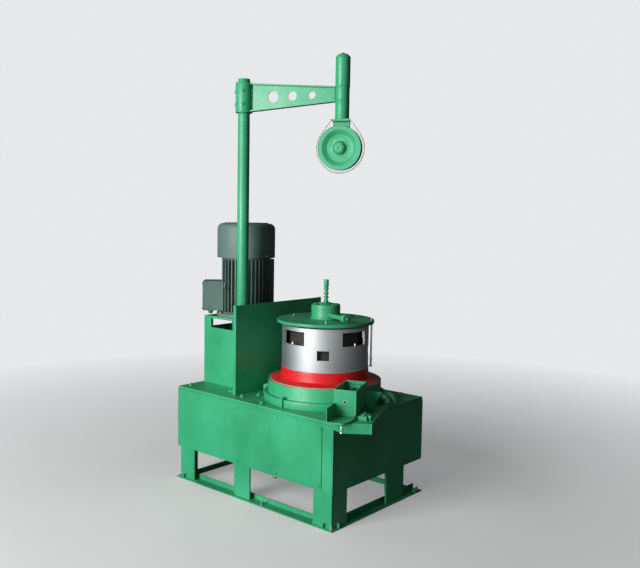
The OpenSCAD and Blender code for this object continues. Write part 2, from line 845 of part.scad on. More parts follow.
// closed core inside the shell, with the shaft that turns in the seat's column
module drum_core() {
  core_floor_t = 8;
  core_drop = 6;
  color(green_dark) translate([0, 0, drum_z]) {
    cylinder(d = seat_column_d + 2 * drum_boss_wall, h = drum_foot_h);
    translate([0, 0, drum_foot_h]) cylinder(d = drum_core_d, h = drum_shell_h - core_drop);
    translate([0, 0, drum_foot_h])
      cylinder(d = drum_d - 2 * (drum_wall + fit), h = core_floor_t);
    cylinder(d = hub_d, h = flyer_z - fit - drum_z);
  }
}

module flyer_disc() {
  color(green) translate([0, 0, flyer_z]) cylinder(d = flyer_d, h = flyer_t);
}

module flyer_hub() {
  color(green) translate([0, 0, flyer_top]) {
    cylinder(d = hub_foot_d, h = hub_foot_h);
    translate([0, 0, hub_foot_h]) cylinder(d = hub_d, h = hub_h);
  }
}

module flyer_spindle() {
  ring_count = floor((spindle_h - spindle_head_h) / (2 * spindle_ring_t));
  color(green) translate([0, 0, hub_top]) {
    cylinder(d = spindle_d, h = spindle_h);
    translate([0, 0, spindle_h - spindle_head_h]) cylinder(d = spindle_head_d, h = spindle_head_h);
    for (i = [0 : ring_count - 1])
      translate([0, 0, (i + 0.5) * 2 * spindle_ring_t])
        cylinder(d = spindle_head_d, h = spindle_ring_t);
  }
}

// places its children at the lever's axis, with x outwards along it
module along_lever() {
  rotate(lever_dir) translate([0, -lever_off, roller_z]) children();
}

// square bar from the hub, with a pin and its head that carry the guide roller
module flyer_lever() {
  head_t = 6;
  head_rim = 5;
  head_x = lever_reach + roller_w + 2 * fit;
  color(green) difference() {
    along_lever() {
      translate([0, -lever_w / 2, -lever_t / 2]) cube([lever_reach, lever_w, lever_t]);
      translate([lever_reach - weld, 0, 0])
        rotate([0, 90, 0]) cylinder(d = roller_pin_d, h = roller_w + 2 * fit + 2 * weld);
      translate([head_x, 0, 0])
        rotate([0, 90, 0]) cylinder(d = roller_pin_d + 2 * head_rim, h = head_t);
    }
    translate([0, 0, hub_z - weld]) cylinder(d = hub_d + 2 * fit, h = hub_h);
  }
}

module guide_roller() {
  groove = 6;
  color(green) along_lever() translate([lever_reach + fit, 0, 0]) rotate([0, 90, 0]) rotate_extrude()
    polygon([[roller_pin_d / 2 + run, 0], [roller_d / 2, 0], [roller_d / 2 - groove, roller_w / 2],
             [roller_d / 2, roller_w], [roller_pin_d / 2 + run, roller_w]]);
}

module flyer_rod() {
  color(steel) rotate(rod_dir) translate([rod_reach, 0, flyer_z - rod_drop])
    cylinder(d = rod_d, h = rod_drop);
}

// places its children at the stem, with x along the arm and y away from the wheel
module at_stem() {
  translate([stem_x, stem_y, 0]) rotate(arm_dir) children();
}

module pulley_stem() {
  head_t = 14;
  head_rim = 10;
  pin_rise = 60;
  color(green) at_stem() {
    translate([0, 0, stem_z]) cylinder(d = stem_d, h = stem_h - fit);
    translate([0, 0, stem_z]) cylinder(d = swivel_pin_d, h = stem_h + beam_end_h + pin_rise);
    translate([0, 0, sleeve_z + beam_end_h + fit])
      cylinder(d = swivel_pin_d + 2 * head_rim, h = head_t);
  }
}

module pulley_bracket() {
  cap_t = 6;
  cap_rim = 8;
  centre_d = 10;
  strap_edge = 4;
  strap_w = bracket_w - 2 * strap_edge;
  axle_l = bracket_t + 2 * fit + 2 * hub_half + cap_t;
  color(green) at_stem() {
    translate([-bracket_w / 2, -wheel_off - guard_rod_d, stem_z - bracket_t])
      cube([bracket_w, wheel_off + guard_rod_d + strap_y + bracket_t, bracket_t]);
    translate([-strap_w / 2, strap_y, wheel_z - strap_w / 2])
      cube([strap_w, bracket_t, stem_z - wheel_z + strap_w / 2 - bracket_t]);
    translate([0, strap_y + bracket_t, wheel_z]) rotate([90, 0, 0]) difference() {
      union() {
        cylinder(d = axle_d, h = axle_l);
        translate([0, 0, axle_l - cap_t]) cylinder(d = axle_d + 2 * cap_rim, h = cap_t);
      }
      translate([0, 0, axle_l - cap_t]) cylinder(d = centre_d, h = cap_t + weld);
    }
  }
}

// bent rod round the wheel's rim, its two ends run up to the bracket plate
module wheel_guard() {
  side_gap = 0.2;
  anchor_x = bracket_w / 2 + guard_rod_d / 2 + side_gap;
  anchor_z = wheel_drop - bracket_t / 2;
  reach = sqrt(anchor_x * anchor_x + anchor_z * anchor_z);
  touch = acos(guard_r / reach);
  start = atan2(anchor_z, anchor_x) - touch;
  side_len = sqrt(reach * reach - guard_r * guard_r);
  color(steel) at_stem() translate([0, -wheel_off, wheel_z]) rotate([90, 0, 0]) {
    rotate(180 - start) rotate_extrude(angle = 180 + 2 * start)
      translate([guard_r, 0]) circle(d = guard_rod_d, $fn = 24);
    for (side = [-1, 1])
      mirror([side < 0 ? 1 : 0, 0, 0])
        rotate(start) translate([guard_r, 0, 0]) rotate([-90, 0, 0]) {
          cylinder(d = guard_rod_d, h = side_len, $fn = 24);
          translate([0, 0, side_len]) sphere(d = guard_rod_d, $fn = 24);
        }
  }
}

module pulley_wheel() {
  half = wheel_w / 2;
  web = 4;
  bottom = 3;
  hub_wall = 28;
  hub_taper = 13;
  rim_r = wheel_r - wheel_rim;
  web_r = rim_r - wheel_slope;
  hub_r = axle_d / 2 + hub_wall;
  bore_r = axle_d / 2 + run;
  color(green) at_stem() translate([0, -wheel_off, wheel_z]) rotate([90, 0, 0]) rotate_extrude()
    polygon([
      [bore_r, -hub_half], [hub_r - hub_taper, -hub_half], [hub_r, -web], [web_r, -web],
      [rim_r, -half], [wheel_r, -half],
      [wheel_r - groove_d, -bottom], [wheel_r - groove_d, bottom],
      [wheel_r, half], [rim_r, half], [web_r, web], [hub_r, web],
      [hub_r - hub_taper, hub_half], [bore_r, hub_half]
    ]);
}

base_ring();
legs();
housing_floor();
housing_front();
housing_rear();
housing_inlet_end();
housing_outlet_end();
inlet_cover();
table_plate();
guard_plate();
guide_shelf();
die_tray();
soap_box();
die_holder();
die_clamp();
box_wing();
water_elbow(0);  // water_elbow_1
water_elbow(1);  // water_elbow_2
drum_seat();
post();
post_foot();
arm_collar();
arm_beam();
arm_sleeve();
spring_housing();
motor_stool();
shaft_housing();
motor_flange();
motor_barrel();
fan_cowl();
terminal_box();
drum_shell();
drum_foot();
drum_core();
flyer_disc();
flyer_hub();
flyer_spindle();
flyer_lever();
flyer_rod();
guide_roller();
pulley_stem();
pulley_bracket();
wheel_guard();
pulley_wheel();
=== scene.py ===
import math
import random

import bmesh
import bpy
from mathutils import Euler, Matrix, Vector


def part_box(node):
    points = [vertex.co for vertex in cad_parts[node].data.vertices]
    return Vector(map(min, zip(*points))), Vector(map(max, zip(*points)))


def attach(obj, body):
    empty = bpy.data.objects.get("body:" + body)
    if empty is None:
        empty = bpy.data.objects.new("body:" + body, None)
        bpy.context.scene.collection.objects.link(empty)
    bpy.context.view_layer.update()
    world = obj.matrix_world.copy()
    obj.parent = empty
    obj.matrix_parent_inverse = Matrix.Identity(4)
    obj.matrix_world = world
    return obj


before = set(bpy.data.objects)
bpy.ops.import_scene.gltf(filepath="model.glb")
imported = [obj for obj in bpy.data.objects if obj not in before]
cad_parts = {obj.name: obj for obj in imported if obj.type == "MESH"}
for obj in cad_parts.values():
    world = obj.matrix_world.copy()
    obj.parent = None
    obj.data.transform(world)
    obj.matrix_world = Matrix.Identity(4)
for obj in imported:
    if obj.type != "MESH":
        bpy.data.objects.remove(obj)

scene = bpy.context.scene
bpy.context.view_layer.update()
chance = random.Random(7)
X = Vector((1, 0, 0))
Y = Vector((0, 1, 0))
Z = Vector((0, 0, 1))


# Camera, at the photograph's place and angle

SENSOR_WIDTH = 36
CAMERA_PLACE = Vector((-3.739, -3.151, 1.805))
CAMERA_YAW = 40.6
CAMERA_PITCH = -5.0
CAMERA_ROLL = 1.0
LENS_IN_WIDTHS = 761.7 / 640


def place_camera():
    data = bpy.data.cameras.new("camera")
    data.sensor_width = SENSOR_WIDTH
    data.lens = SENSOR_WIDTH * LENS_IN_WIDTHS
    data.clip_start = 0.1
    data.clip_end = 100
    camera = bpy.data.objects.new("camera", data)
    scene.collection.objects.link(camera)
    scene.camera = camera
    camera.location = CAMERA_PLACE
    turn = Euler((math.radians(90 + CAMERA_PITCH), 0, math.radians(CAMERA_YAW - 90)))
    camera.rotation_mode = "QUATERNION"
    roll = Matrix.Rotation(math.radians(CAMERA_ROLL), 4, "Z")
    camera.rotation_quaternion = (turn.to_matrix().to_4x4() @ roll).to_quaternion()


place_camera()


# Paint and metal

def linear(red, green, blue):
    """an sRGB colour of 0 to 255 as the shader wants it"""
    values = [v / 255 for v in (red, green, blue)]
    return tuple(v / 12.92 if v < 0.04045 else ((v + 0.055) / 1.055) ** 2.4 for v in values) + (1,)


def set_stops(ramp, stops):
    """puts stops of (position, grey or colour) on a ramp"""
    marks = ramp.color_ramp.elements
    while len(marks) < len(stops):
        marks.new(0.5)
    for mark, (position, value) in zip(marks, stops):
        mark.position = position
        mark.color = value if isinstance(value, tuple) else (value, value, value, 1)


class Finish:
    """a material with its nodes, which the paints and metals below are built from"""

    def __init__(self, name):
        self.material = bpy.data.materials.new(name)
        self.material.use_nodes = True
        self.tree = self.material.node_tree
        self.shader = self.tree.nodes["Principled BSDF"]
        self.place = self.node("ShaderNodeTexCoord").outputs["Object"]

    def node(self, kind, **settings):
        made = self.tree.nodes.new(kind)
        for key, value in settings.items():
            setattr(made, key, value)
        return made

    def link(self, source, target):
        self.tree.links.new(source, target)

    def noise(self, scale, detail=3.0, roughness=0.5, stretch=None):
        """soft noise on the object's own coordinates; stretch scales it along x, y and z"""
        noise = self.node("ShaderNodeTexNoise")
        noise.inputs["Scale"].default_value = scale
        noise.inputs["Detail"].default_value = detail
        noise.inputs["Roughness"].default_value = roughness
        source = self.place
        if stretch:
            mapping = self.node("ShaderNodeMapping")
            mapping.inputs["Scale"].default_value = stretch
            self.link(self.place, mapping.inputs["Vector"])
            source = mapping.outputs["Vector"]
        self.link(source, noise.inputs["Vector"])
        return noise.outputs["Fac"]

    def ramp(self, source, *stops):
        """grey or colour that follows a socket, by stops of (position, value)"""
        ramp = self.node("ShaderNodeValToRGB")
        self.link(source, ramp.inputs["Fac"])
        set_stops(ramp, stops)
        return ramp.outputs["Color"]

    def maths(self, operation, first, second):
        """one sum on two values, each a number or a socket"""
        node = self.node("ShaderNodeMath", operation=operation)
        for socket, value in zip(node.inputs, (first, second)):
            if isinstance(value, (int, float)):
                socket.default_value = value
            else:
                self.link(value, socket)
        return node.outputs["Value"]

    def blend(self, share, first, second):
        """mixes two colours by share, which is a number or a socket"""
        mix = self.node("ShaderNodeMix", data_type="RGBA")
        sockets = [s for s in mix.inputs if s.enabled]
        for socket, value in zip(sockets, (share, first, second)):
            if isinstance(value, (int, float, tuple)):
                socket.default_value = value
            else:
                self.link(value, socket)
        return [s for s in mix.outputs if s.enabled][0]

    def upward(self):
        """1 where the surface looks straight up, 0 where it is upright"""
        geometry = self.node("ShaderNodeNewGeometry")
        parts = self.node("ShaderNodeSeparateXYZ")
        self.link(geometry.outputs["Normal"], parts.inputs["Vector"])
        return parts.outputs["Z"]

    def edges(self, radius):
        """above 0 within radius of a sharp edge, and 0 on flat faces"""
        bevel = self.node("ShaderNodeBevel", samples=4)
        bevel.inputs["Radius"].default_value = radius
        geometry = self.node("ShaderNodeNewGeometry")
        dot = self.node("ShaderNodeVectorMath", operation="DOT_PRODUCT")
        self.link(bevel.outputs["Normal"], dot.inputs[0])
        self.link(geometry.outputs["Normal"], dot.inputs[1])
        return self.maths("SUBTRACT", 1.0, dot.outputs["Value"])

    def bump(self, *layers):
        """stacks bumps, each a (height socket, strength, distance)"""
        below = None
        for height, strength, distance in layers:
            bump = self.node("ShaderNodeBump")
            bump.inputs["Strength"].default_value = strength
            bump.inputs["Distance"].default_value = distance
            self.link(height, bump.inputs["Height"])
            if below:
                self.link(below, bump.inputs["Normal"])
            below = bump.outputs["Normal"]
        self.link(below, self.shader.inputs["Normal"])

    def colour(self, source):
        self.link(source, self.shader.inputs["Base Color"])

    def rough(self, source):
        self.link(source, self.shader.inputs["Roughness"])


GREEN = linear(52, 166, 116)
GREEN_DEEP = linear(42, 150, 102)
GREEN_PALE = linear(62, 178, 128)
# pale edge colour: chipped paint down to the primer, and also a painted highlight on rounded edges
EDGE_WEAR_AND_HIGHLIGHT = linear(150, 190, 166)
DRIP = linear(38, 70, 52)
DUST = linear(96, 104, 90)

MOTTLE_SHARE = 0.35
DRIP_SHARE = 0.14
DUST_SHARE = 0.4
# share, reach and level of the pale edge marks, which are both chips and painted highlights
CHIP_AND_HIGHLIGHT_SHARE = 0.75
CHIP_AND_HIGHLIGHT_REACH = 0.002
CHIP_AND_HIGHLIGHT_LEVEL = 0.085
DUST_DULLS = 0.6
PAINT_SPECULAR = 0.36
CLEAR_COAT = 0.06
CLEAR_COAT_ROUGHNESS = 0.14


def enamel(name, base, deep, pale, wear_and_highlight, grain=0.0, gloss=0.32):
    """sprayed machine enamel: uneven tone, drips, dust on top, and pale marks along the edges that
    are chipped paint and painted edge highlights
    """
    paint = Finish(name)
    tone = paint.ramp(paint.noise(2.2, 4), (0.32, deep), (0.5, base), (0.72, pale))
    mottle = paint.ramp(paint.noise(34, 6, 0.6), (0.35, 0.86), (0.6, 1.0))
    body = paint.node("ShaderNodeMix", data_type="RGBA", blend_type="MULTIPLY")
    colours = [s for s in body.inputs if s.enabled]
    colours[0].default_value = MOTTLE_SHARE
    paint.link(tone, colours[1])
    paint.link(mottle, colours[2])
    body = [s for s in body.outputs if s.enabled][0]

    drips = paint.ramp(paint.noise(3, 5, 0.55, stretch=(16, 16, 0.9)), (0.57, 0.0), (0.74, 1.0))
    body = paint.blend(paint.maths("MULTIPLY", drips, DRIP_SHARE), body, DRIP)

    dust_spots = paint.ramp(paint.noise(9, 7, 0.6), (0.38, 0.0), (0.7, 1.0))
    flat = paint.ramp(paint.upward(), (0.6, 0.0), (0.95, 1.0))
    dust = paint.maths("MULTIPLY", paint.maths("MULTIPLY", dust_spots, flat), DUST_SHARE)
    body = paint.blend(dust, body, DUST)

    # pale marks near sharp edges: chipped paint, and painted highlights along the edges
    rub_and_glint = paint.noise(46, 5, 0.7)
    near_edge = paint.maths("MULTIPLY", paint.edges(CHIP_AND_HIGHLIGHT_REACH), rub_and_glint)
    chips_and_highlights = paint.maths("GREATER_THAN", near_edge, CHIP_AND_HIGHLIGHT_LEVEL)
    body = paint.blend(paint.maths("MULTIPLY", chips_and_highlights, CHIP_AND_HIGHLIGHT_SHARE), body, wear_and_highlight)
    paint.colour(body)

    shine = paint.ramp(paint.noise(5, 6, 0.6), (0.3, gloss - 0.1), (0.7, gloss + 0.14))
    paint.rough(paint.maths("ADD", shine, paint.maths("MULTIPLY", dust, DUST_DULLS)))
    layers = [(paint.noise(110, 2), 0.12, 0.0006), (paint.noise(9, 3), 0.18, 0.003)]
    if grain:
        layers.append((paint.noise(260, 4, 0.6), grain, 0.0012))
    paint.bump(*layers)
    paint.shader.inputs["Specular IOR Level"].default_value = PAINT_SPECULAR
    paint.shader.inputs["Coat Weight"].default_value = CLEAR_COAT
    paint.shader.inputs["Coat Roughness"].default_value = CLEAR_COAT_ROUGHNESS
    return paint.material


def turned_steel(name, base, deep, rough_low, rough_high, ring_scale):
    """bright turned steel with fine rings round the upright axis"""
    metal = Finish(name)
    rings = metal.noise(1.0, 6, 0.7, stretch=(0.6, 0.6, ring_scale))
    tone = metal.ramp(metal.noise(3, 4), (0.3, deep), (0.7, base))
    metal.colour(metal.blend(metal.maths("MULTIPLY", rings, 0.5), tone, deep))
    metal.rough(metal.ramp(rings, (0.3, rough_low), (0.7, rough_high)))
    metal.bump((rings, 0.25, 0.0004), (metal.noise(60, 5, 0.6), 0.08, 0.0005))
    metal.shader.inputs["Metallic"].default_value = 1.0
    return metal.material


def zinc(name, base, deep, relief=0.15):
    """plated steel, slightly dull and spotted; relief is the strength of the spots' bump"""
    metal = Finish(name)
    spots = metal.noise(140, 6, 0.65)
    metal.colour(metal.ramp(spots, (0.35, deep), (0.65, base)))
    metal.rough(metal.ramp(spots, (0.3, 0.28), (0.7, 0.5)))
    metal.bump((spots, relief, 0.0004))
    metal.shader.inputs["Metallic"].default_value = 1.0
    return metal.material


green_plate = enamel("green_plate", GREEN, GREEN_DEEP, GREEN_PALE, EDGE_WEAR_AND_HIGHLIGHT)
green_cast = enamel("green_cast", GREEN, GREEN_DEEP, GREEN_PALE, EDGE_WEAR_AND_HIGHLIGHT, grain=0.35, gloss=0.36)
motor_paint = enamel("motor_paint", linear(90, 116, 109), linear(74, 98, 92),
                     linear(108, 134, 126), linear(128, 128, 120), grain=0.3, gloss=0.45)
red_enamel = enamel("red_enamel", linear(214, 16, 24), linear(186, 10, 16),
                    linear(226, 28, 34), linear(150, 96, 88), grain=0.1)
# near-black that paints the shade inside the drum's windows and inside the cowl's air inlet
painted_shade_black = enamel("painted_shade_black", linear(34, 33, 32), linear(20, 20, 20),
                   linear(52, 48, 44), linear(70, 62, 54), grain=0.5, gloss=0.6)
drum_steel = turned_steel("drum_steel", linear(180, 183, 185), linear(162, 166, 169),
                          rough_low=0.48, rough_high=0.58, ring_scale=700)
bright_steel = zinc("bright_steel", linear(176, 177, 176), linear(146, 146, 143), relief=0.03)
pale_steel = zinc("pale_steel", linear(226, 228, 222), linear(178, 184, 176))
# pale pink colour of a thin ring on the red foot's flange: a painted highlight on that edge
painted_edge_highlight = enamel("painted_edge_highlight", linear(196, 156, 132), linear(176, 120, 100),
                   linear(206, 186, 160), linear(150, 120, 112), gloss=0.35)


# Nodes that keep their shape: edges are rounded and the paint goes on

FINISHES = (
    (green_plate, (
        "base_ring", "legs", "housing_floor", "housing_front", "housing_rear",
        "housing_inlet_end", "housing_outlet_end", "inlet_cover", "table_plate", "guard_plate",
        "guide_shelf", "die_tray", "soap_box", "die_clamp", "die_holder", "box_wing",
        "water_elbow_1", "water_elbow_2", "post", "post_foot", "arm_beam", "spring_housing",
        "motor_stool", "shaft_housing", "flyer_lever", "pulley_bracket")),
    (green_cast, (
        "drum_seat", "arm_collar", "arm_sleeve", "flyer_disc", "flyer_hub", "flyer_spindle",
        "pulley_stem", "pulley_wheel", "guide_roller")),
    # the drum's core is painted near-black as the shade seen through the windows
    (painted_shade_black, ("drum_core",)),
    (motor_paint, ("motor_flange", "motor_barrel", "fan_cowl", "terminal_box")),
    (red_enamel, ("drum_foot",)),
    (drum_steel, ("drum_shell",)),
    (bright_steel, ("flyer_rod", "wheel_guard")),
)

USUAL_ROUNDING = 0.0012
ROUNDING = {
    "table_plate": 0.004, "housing_front": 0.003, "housing_rear": 0.003, "drum_seat": 0.003,
    "flyer_disc": 0.003, "drum_foot": 0.002, "die_tray": 0.002, "guide_shelf": 0.002,
    "soap_box": 0.0018, "pulley_wheel": 0.002, "arm_collar": 0.002, "fan_cowl": 0.002}

# round nodes whose smooth sides would show streaks from rounding
KEPT_SMOOTH = ("drum_shell", "wheel_guard")

# nodes with shallow slopes, where these edges are rounded too and flats stay flat
SHALLOW = ("pulley_wheel",)

# degrees between two faces from which their edge is rounded or looks sharp
ROUND_FROM = 40
SHALLOW_ROUND_FROM = 20
SHARP_FROM = 38

# degrees within which faces count as one, and metres within which points do
FLAT_WITHIN = 0.5
SAME_POINT = 0.00002


def dress(node, material):
    """paints a node and rounds its edges"""
    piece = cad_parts[node]
    piece.data.materials.clear()
    piece.data.materials.append(material)
    if node in KEPT_SMOOTH:
        return
    weld = piece.modifiers.new("weld", "WELD")
    weld.merge_threshold = SAME_POINT
    flat = piece.modifiers.new("flat", "DECIMATE")
    flat.decimate_type = "DISSOLVE"
    flat.angle_limit = math.radians(FLAT_WITHIN)
    edge = piece.modifiers.new("edge", "BEVEL")
    edge.width = ROUNDING.get(node, USUAL_ROUNDING)
    edge.segments = 2
    edge.limit_method = "ANGLE"
    edge.angle_limit = math.radians(SHALLOW_ROUND_FROM if node in SHALLOW else ROUND_FROM)
    edge.harden_normals = node in SHALLOW


for material, nodes in FINISHES:
    for node in nodes:
        dress(node, material)


# Pieces that the solids leave out: bolts, welds, straps, plates and small fittings

def along_z(direction):
    """the turn that lays the z axis along a direction"""
    return direction.to_track_quat("Z", "Y").to_matrix().to_4x4()


class Piece:
    """a piece in the making: shapes are added where they sit, then it is painted and fixed"""

    # shares of the thread's diameter
    WASHER_R, WASHER_T = 1.05, 0.18
    HEAD_R, HEAD_H = 0.93, 0.56
    CHAMFER_R, CHAMFER_H = 0.78, 0.1
    THREAD_R, THREAD_END_R = 0.48, 0.4
    SCREW_R, SCREW_H = 0.85, 0.5
    SCREW_TOP = ((0.85, 0), (0.72, 0.14), (0.42, 0.14), (0.38, -0.2), (0.36, 0))

    # shares of a weld bead's radius, and how far apart the corners of a bent one lie
    RIPPLE_LOW, RIPPLE_HIGH = 0.84, 1.08
    UNEVEN = (0.93, 1.07)
    BEND_LENGTH = 0.02

    def __init__(self):
        self.mesh = bmesh.new()

    def block(self, corner, opposite, turn=Matrix()):
        """a bar or plate between two corners, turned about the drum's axis or another"""
        corner, opposite = Vector(corner), Vector(opposite)
        place = Matrix.LocRotScale((corner + opposite) / 2, None, opposite - corner)
        bmesh.ops.create_cube(self.mesh, size=1, matrix=turn @ place)

    def rod(self, start, end, radius, end_radius=None, sides=24):
        """a round, hexagonal or tapered length from start to end"""
        start, end = Vector(start), Vector(end)
        way = end - start
        place = Matrix.Translation((start + end) / 2) @ along_z(way)
        bmesh.ops.create_cone(self.mesh, cap_ends=True, segments=sides, radius1=radius,
                              radius2=radius if end_radius is None else end_radius,
                              depth=way.length, matrix=place)

    def turned(self, place, axis, profile, steps=64):
        """turns a closed profile of (distance from the axis, distance along it) once round"""
        place, axis = Vector(place), Vector(axis).normalized()
        upright = Matrix.Translation(place) @ along_z(axis)
        points = [self.mesh.verts.new(upright @ Vector((r, 0, h))) for r, h in profile]
        lines = [self.mesh.edges.new((points[i - 1], points[i])) for i in range(len(points))]
        bmesh.ops.spin(self.mesh, geom=points + lines, cent=place, axis=axis,
                       angle=2 * math.pi, steps=steps, use_merge=True)
        bmesh.ops.recalc_face_normals(self.mesh, faces=self.mesh.faces)

    def ring(self, place, axis, radius, thick, steps=64, sides=10):
        """a round wire or bead bent into a ring"""
        turns = [2 * math.pi * i / sides for i in range(sides)]
        section = [(radius + thick * math.cos(t), thick * math.sin(t)) for t in turns]
        self.turned(place, axis, section, steps)

    def bolt(self, place, axis, size, washer=True, thread=0.0):
        """hexagon head; size is the thread's diameter, thread the length that stands out"""
        place, axis = Vector(place), Vector(axis).normalized()
        foot = place
        if washer:
            foot = place + axis * self.WASHER_T * size
            self.rod(place, foot, self.WASHER_R * size)
        neck = foot + axis * self.HEAD_H * size
        self.rod(foot, neck, self.HEAD_R * size, sides=6)
        self.rod(neck, neck + axis * self.CHAMFER_H * size, self.HEAD_R * size,
                 self.CHAMFER_R * size, sides=6)
        if thread:
            self.rod(neck, neck + axis * (thread + self.CHAMFER_H * size),
                     self.THREAD_R * size, self.THREAD_END_R * size, sides=16)

    def screw(self, place, axis, size):
        """low round head with a chamfer and a sunk socket"""
        place, axis = Vector(place), Vector(axis).normalized()
        top = place + axis * self.SCREW_H * size
        self.rod(place, top, self.SCREW_R * size)
        self.turned(top, axis, [(r * size, h * size) for r, h in self.SCREW_TOP], 24)

    def bead(self, start, end, radius, pitch=0.005):
        """weld bead whose ripples are a little uneven"""
        start, end = Vector(start), Vector(end)
        way = end - start
        count = max(2, round(way.length / pitch))
        made = bmesh.ops.create_circle(self.mesh, cap_ends=True, segments=7, radius=radius,
                                       matrix=Matrix.Translation(start) @ along_z(way))
        face = made["verts"][0].link_faces[0]
        for i in range(count):
            moved = bmesh.ops.extrude_face_region(self.mesh, geom=[face])["geom"]
            face = next(g for g in moved if isinstance(g, bmesh.types.BMFace))
            share = self.RIPPLE_LOW if i % 2 else self.RIPPLE_HIGH
            ripple = radius * share * chance.uniform(*self.UNEVEN)
            centre = start + way * (i + 1) / count
            bmesh.ops.translate(self.mesh, verts=face.verts, vec=way / count)
            for vert in face.verts:
                vert.co = centre + (vert.co - centre).normalized() * ripple

    def bead_round(self, place, axis, radius, thick):
        """weld bead once round a pipe"""
        place, axis = Vector(place), Vector(axis).normalized()
        turn = axis.to_track_quat("Z", "Y")
        count = max(6, round(radius * math.radians(360) / self.BEND_LENGTH))
        angles = [math.radians(360 * i / count) for i in range(count + 1)]
        corners = [place + turn @ Vector((radius * math.cos(t), radius * math.sin(t), 0))
                   for t in angles]
        for first, second in zip(corners, corners[1:]):
            self.bead(first, second, thick)

    def done(self, name, material, body="frame", soft=0.0006):
        """ends the piece: rounded edges, paint, and the body that it moves with"""
        bmesh.ops.recalc_face_normals(self.mesh, faces=self.mesh.faces)
        if soft:
            sharp = [e for e in self.mesh.edges if len(e.link_faces) == 2
                     and e.calc_face_angle() > math.radians(ROUND_FROM)]
            bmesh.ops.bevel(self.mesh, geom=sharp, offset=soft, offset_type="OFFSET", segments=2,
                            profile=0.5, affect="EDGES", material=-1, clamp_overlap=True)
        for face in self.mesh.faces:
            face.smooth = True
        for edge in self.mesh.edges:
            edge.smooth = (len(edge.link_faces) != 2
                           or edge.calc_face_angle() < math.radians(SHARP_FROM))
        data = bpy.data.meshes.new(name)
        self.mesh.to_mesh(data)
        self.mesh.free()
        data.materials.append(material)
        piece = bpy.data.objects.new(name, data)
        scene.collection.objects.link(piece)
        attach(piece, body)


def low(node):
    """lowest corner of a node's box"""
    return Vector(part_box(node)[0])


def high(node):
    """highest corner of a node's box"""
    return Vector(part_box(node)[1])


def middle(node):
    """middle of a node's box"""
    return (low(node) + high(node)) / 2


def toward(degrees, radius=1.0, height=0.0):
    """a point round the drum's axis, or a direction"""
    turn = math.radians(degrees)
    return Vector((radius * math.cos(turn), radius * math.sin(turn), height))


def turned_to(degrees, centre=(0, 0, 0)):
    """the turn about an upright axis through centre, for shapes laid out along x"""
    return Matrix.Translation(centre) @ Matrix.Rotation(math.radians(degrees), 4, "Z")


# Places and sizes that fittings share with the solids, in metres and degrees

RING_WEB = 0.028
RING_FLANGE = high("base_ring").z - RING_WEB
LEG_TOP = low("housing_floor").z
TABLE = high("table_plate").z
SEAT_FLANGE_H = 0.046
SEAT_STEP = 0.028
WIRE_DIR = 24
DIE_OFF = 0.286
BOX_FLOOR = low("soap_box").z
BOX_START = -0.566
BOX_END = -0.300
BOX_HALF = 0.067
DRUM_R = high("drum_shell").x
DISC_TOP = high("flyer_disc").z
HUB_R = 0.093
LEVER_DIR = 251
LEVER_OFF = 0.025
ROD_DIR = 300
ROD_R = 0.299
POST = Vector((-0.285, 0.48, 0))
STEM = Vector((0, -0.104, 0))
ARM_TURN = math.degrees(math.atan2(STEM.y - POST.y, STEM.x - POST.x))
WHEEL_AXIS = toward(ARM_TURN + 90)
WHEEL_OFF = 0.042
WHEEL = STEM - WHEEL_AXIS * WHEEL_OFF + Z * middle("pulley_wheel").z
WHEEL_R = (high("pulley_wheel").z - low("pulley_wheel").z) / 2
MOTOR = Vector((middle("motor_flange").x, middle("motor_flange").y, 0))
TERMINAL_REACH = 0.288
TERMINAL_HALF = 0.075


def on_wire(along, across, up=0.0):
    """a point by the wire: along it from the drum's axis, across it to the rear, up from
    the soap box's floor"""
    turn = Matrix.Rotation(math.radians(WIRE_DIR), 3, "Z")
    return Vector(turn @ Vector((along, across - DIE_OFF, 0))) + Z * (BOX_FLOOR + up)


# Base and housing

def base_welds():
    """beads where the legs stand on the ring and meet the housing, and at the ring's corners"""
    bead = Piece()
    thick, near = 0.004, 0.03
    side_length, side_last = 0.12, 0.17
    end_length, end_last = 0.1, 0.15
    mitre, mitre_thick = 0.06, 0.0025
    legs_low, legs_high = low("legs"), high("legs")
    for x in (legs_low.x, legs_high.x):
        for y in (legs_low.y + near, legs_high.y - side_last):
            for z in (RING_FLANGE, LEG_TOP):
                bead.bead((x, y, z), (x, y + side_length, z), thick)
    for y in (legs_low.y, legs_high.y):
        for x in (legs_low.x + near, legs_high.x - end_last):
            for z in (RING_FLANGE, LEG_TOP):
                bead.bead((x, y, z), (x + end_length, y, z), thick)
    ring_low, ring_high = low("base_ring"), high("base_ring")
    for x, side in ((ring_low.x, 1), (ring_high.x, -1)):
        for y, end in ((ring_low.y, 1), (ring_high.y, -1)):
            inner = (x + side * mitre, y + end * mitre, RING_FLANGE)
            bead.bead((x, y, RING_FLANGE), inner, mitre_thick)
    bead.done("base_welds", green_plate, soft=0)


def anchor_bolts():
    """nuts and rod ends that hold the ring to the floor"""
    bolts = Piece()
    inset, middle_shift, thread = 0.024, 0.11, 0.014
    ring_low, ring_high = low("base_ring"), high("base_ring")
    half_way = (ring_low.y + ring_high.y) / 2 - middle_shift
    for x in (ring_low.x + inset, ring_high.x - inset):
        for y in (ring_low.y + inset, half_way, ring_high.y - inset):
            bolts.bolt((x, y, RING_FLANGE), Z, thread, thread=0.012)
    bolts.done("anchor_bolts", bright_steel)


def cover_screws():
    """screws round the cover plate on the inlet end"""
    screws = Piece()
    cover_low, cover_high = low("inlet_cover"), high("inlet_cover")
    inset = 0.014
    for y in (cover_low.y + inset, middle("inlet_cover").y, cover_high.y - inset):
        for z in (cover_low.z + inset, cover_high.z - inset):
            screws.screw((cover_low.x, y, z), -X, 0.008)
    screws.done("cover_screws", green_plate)


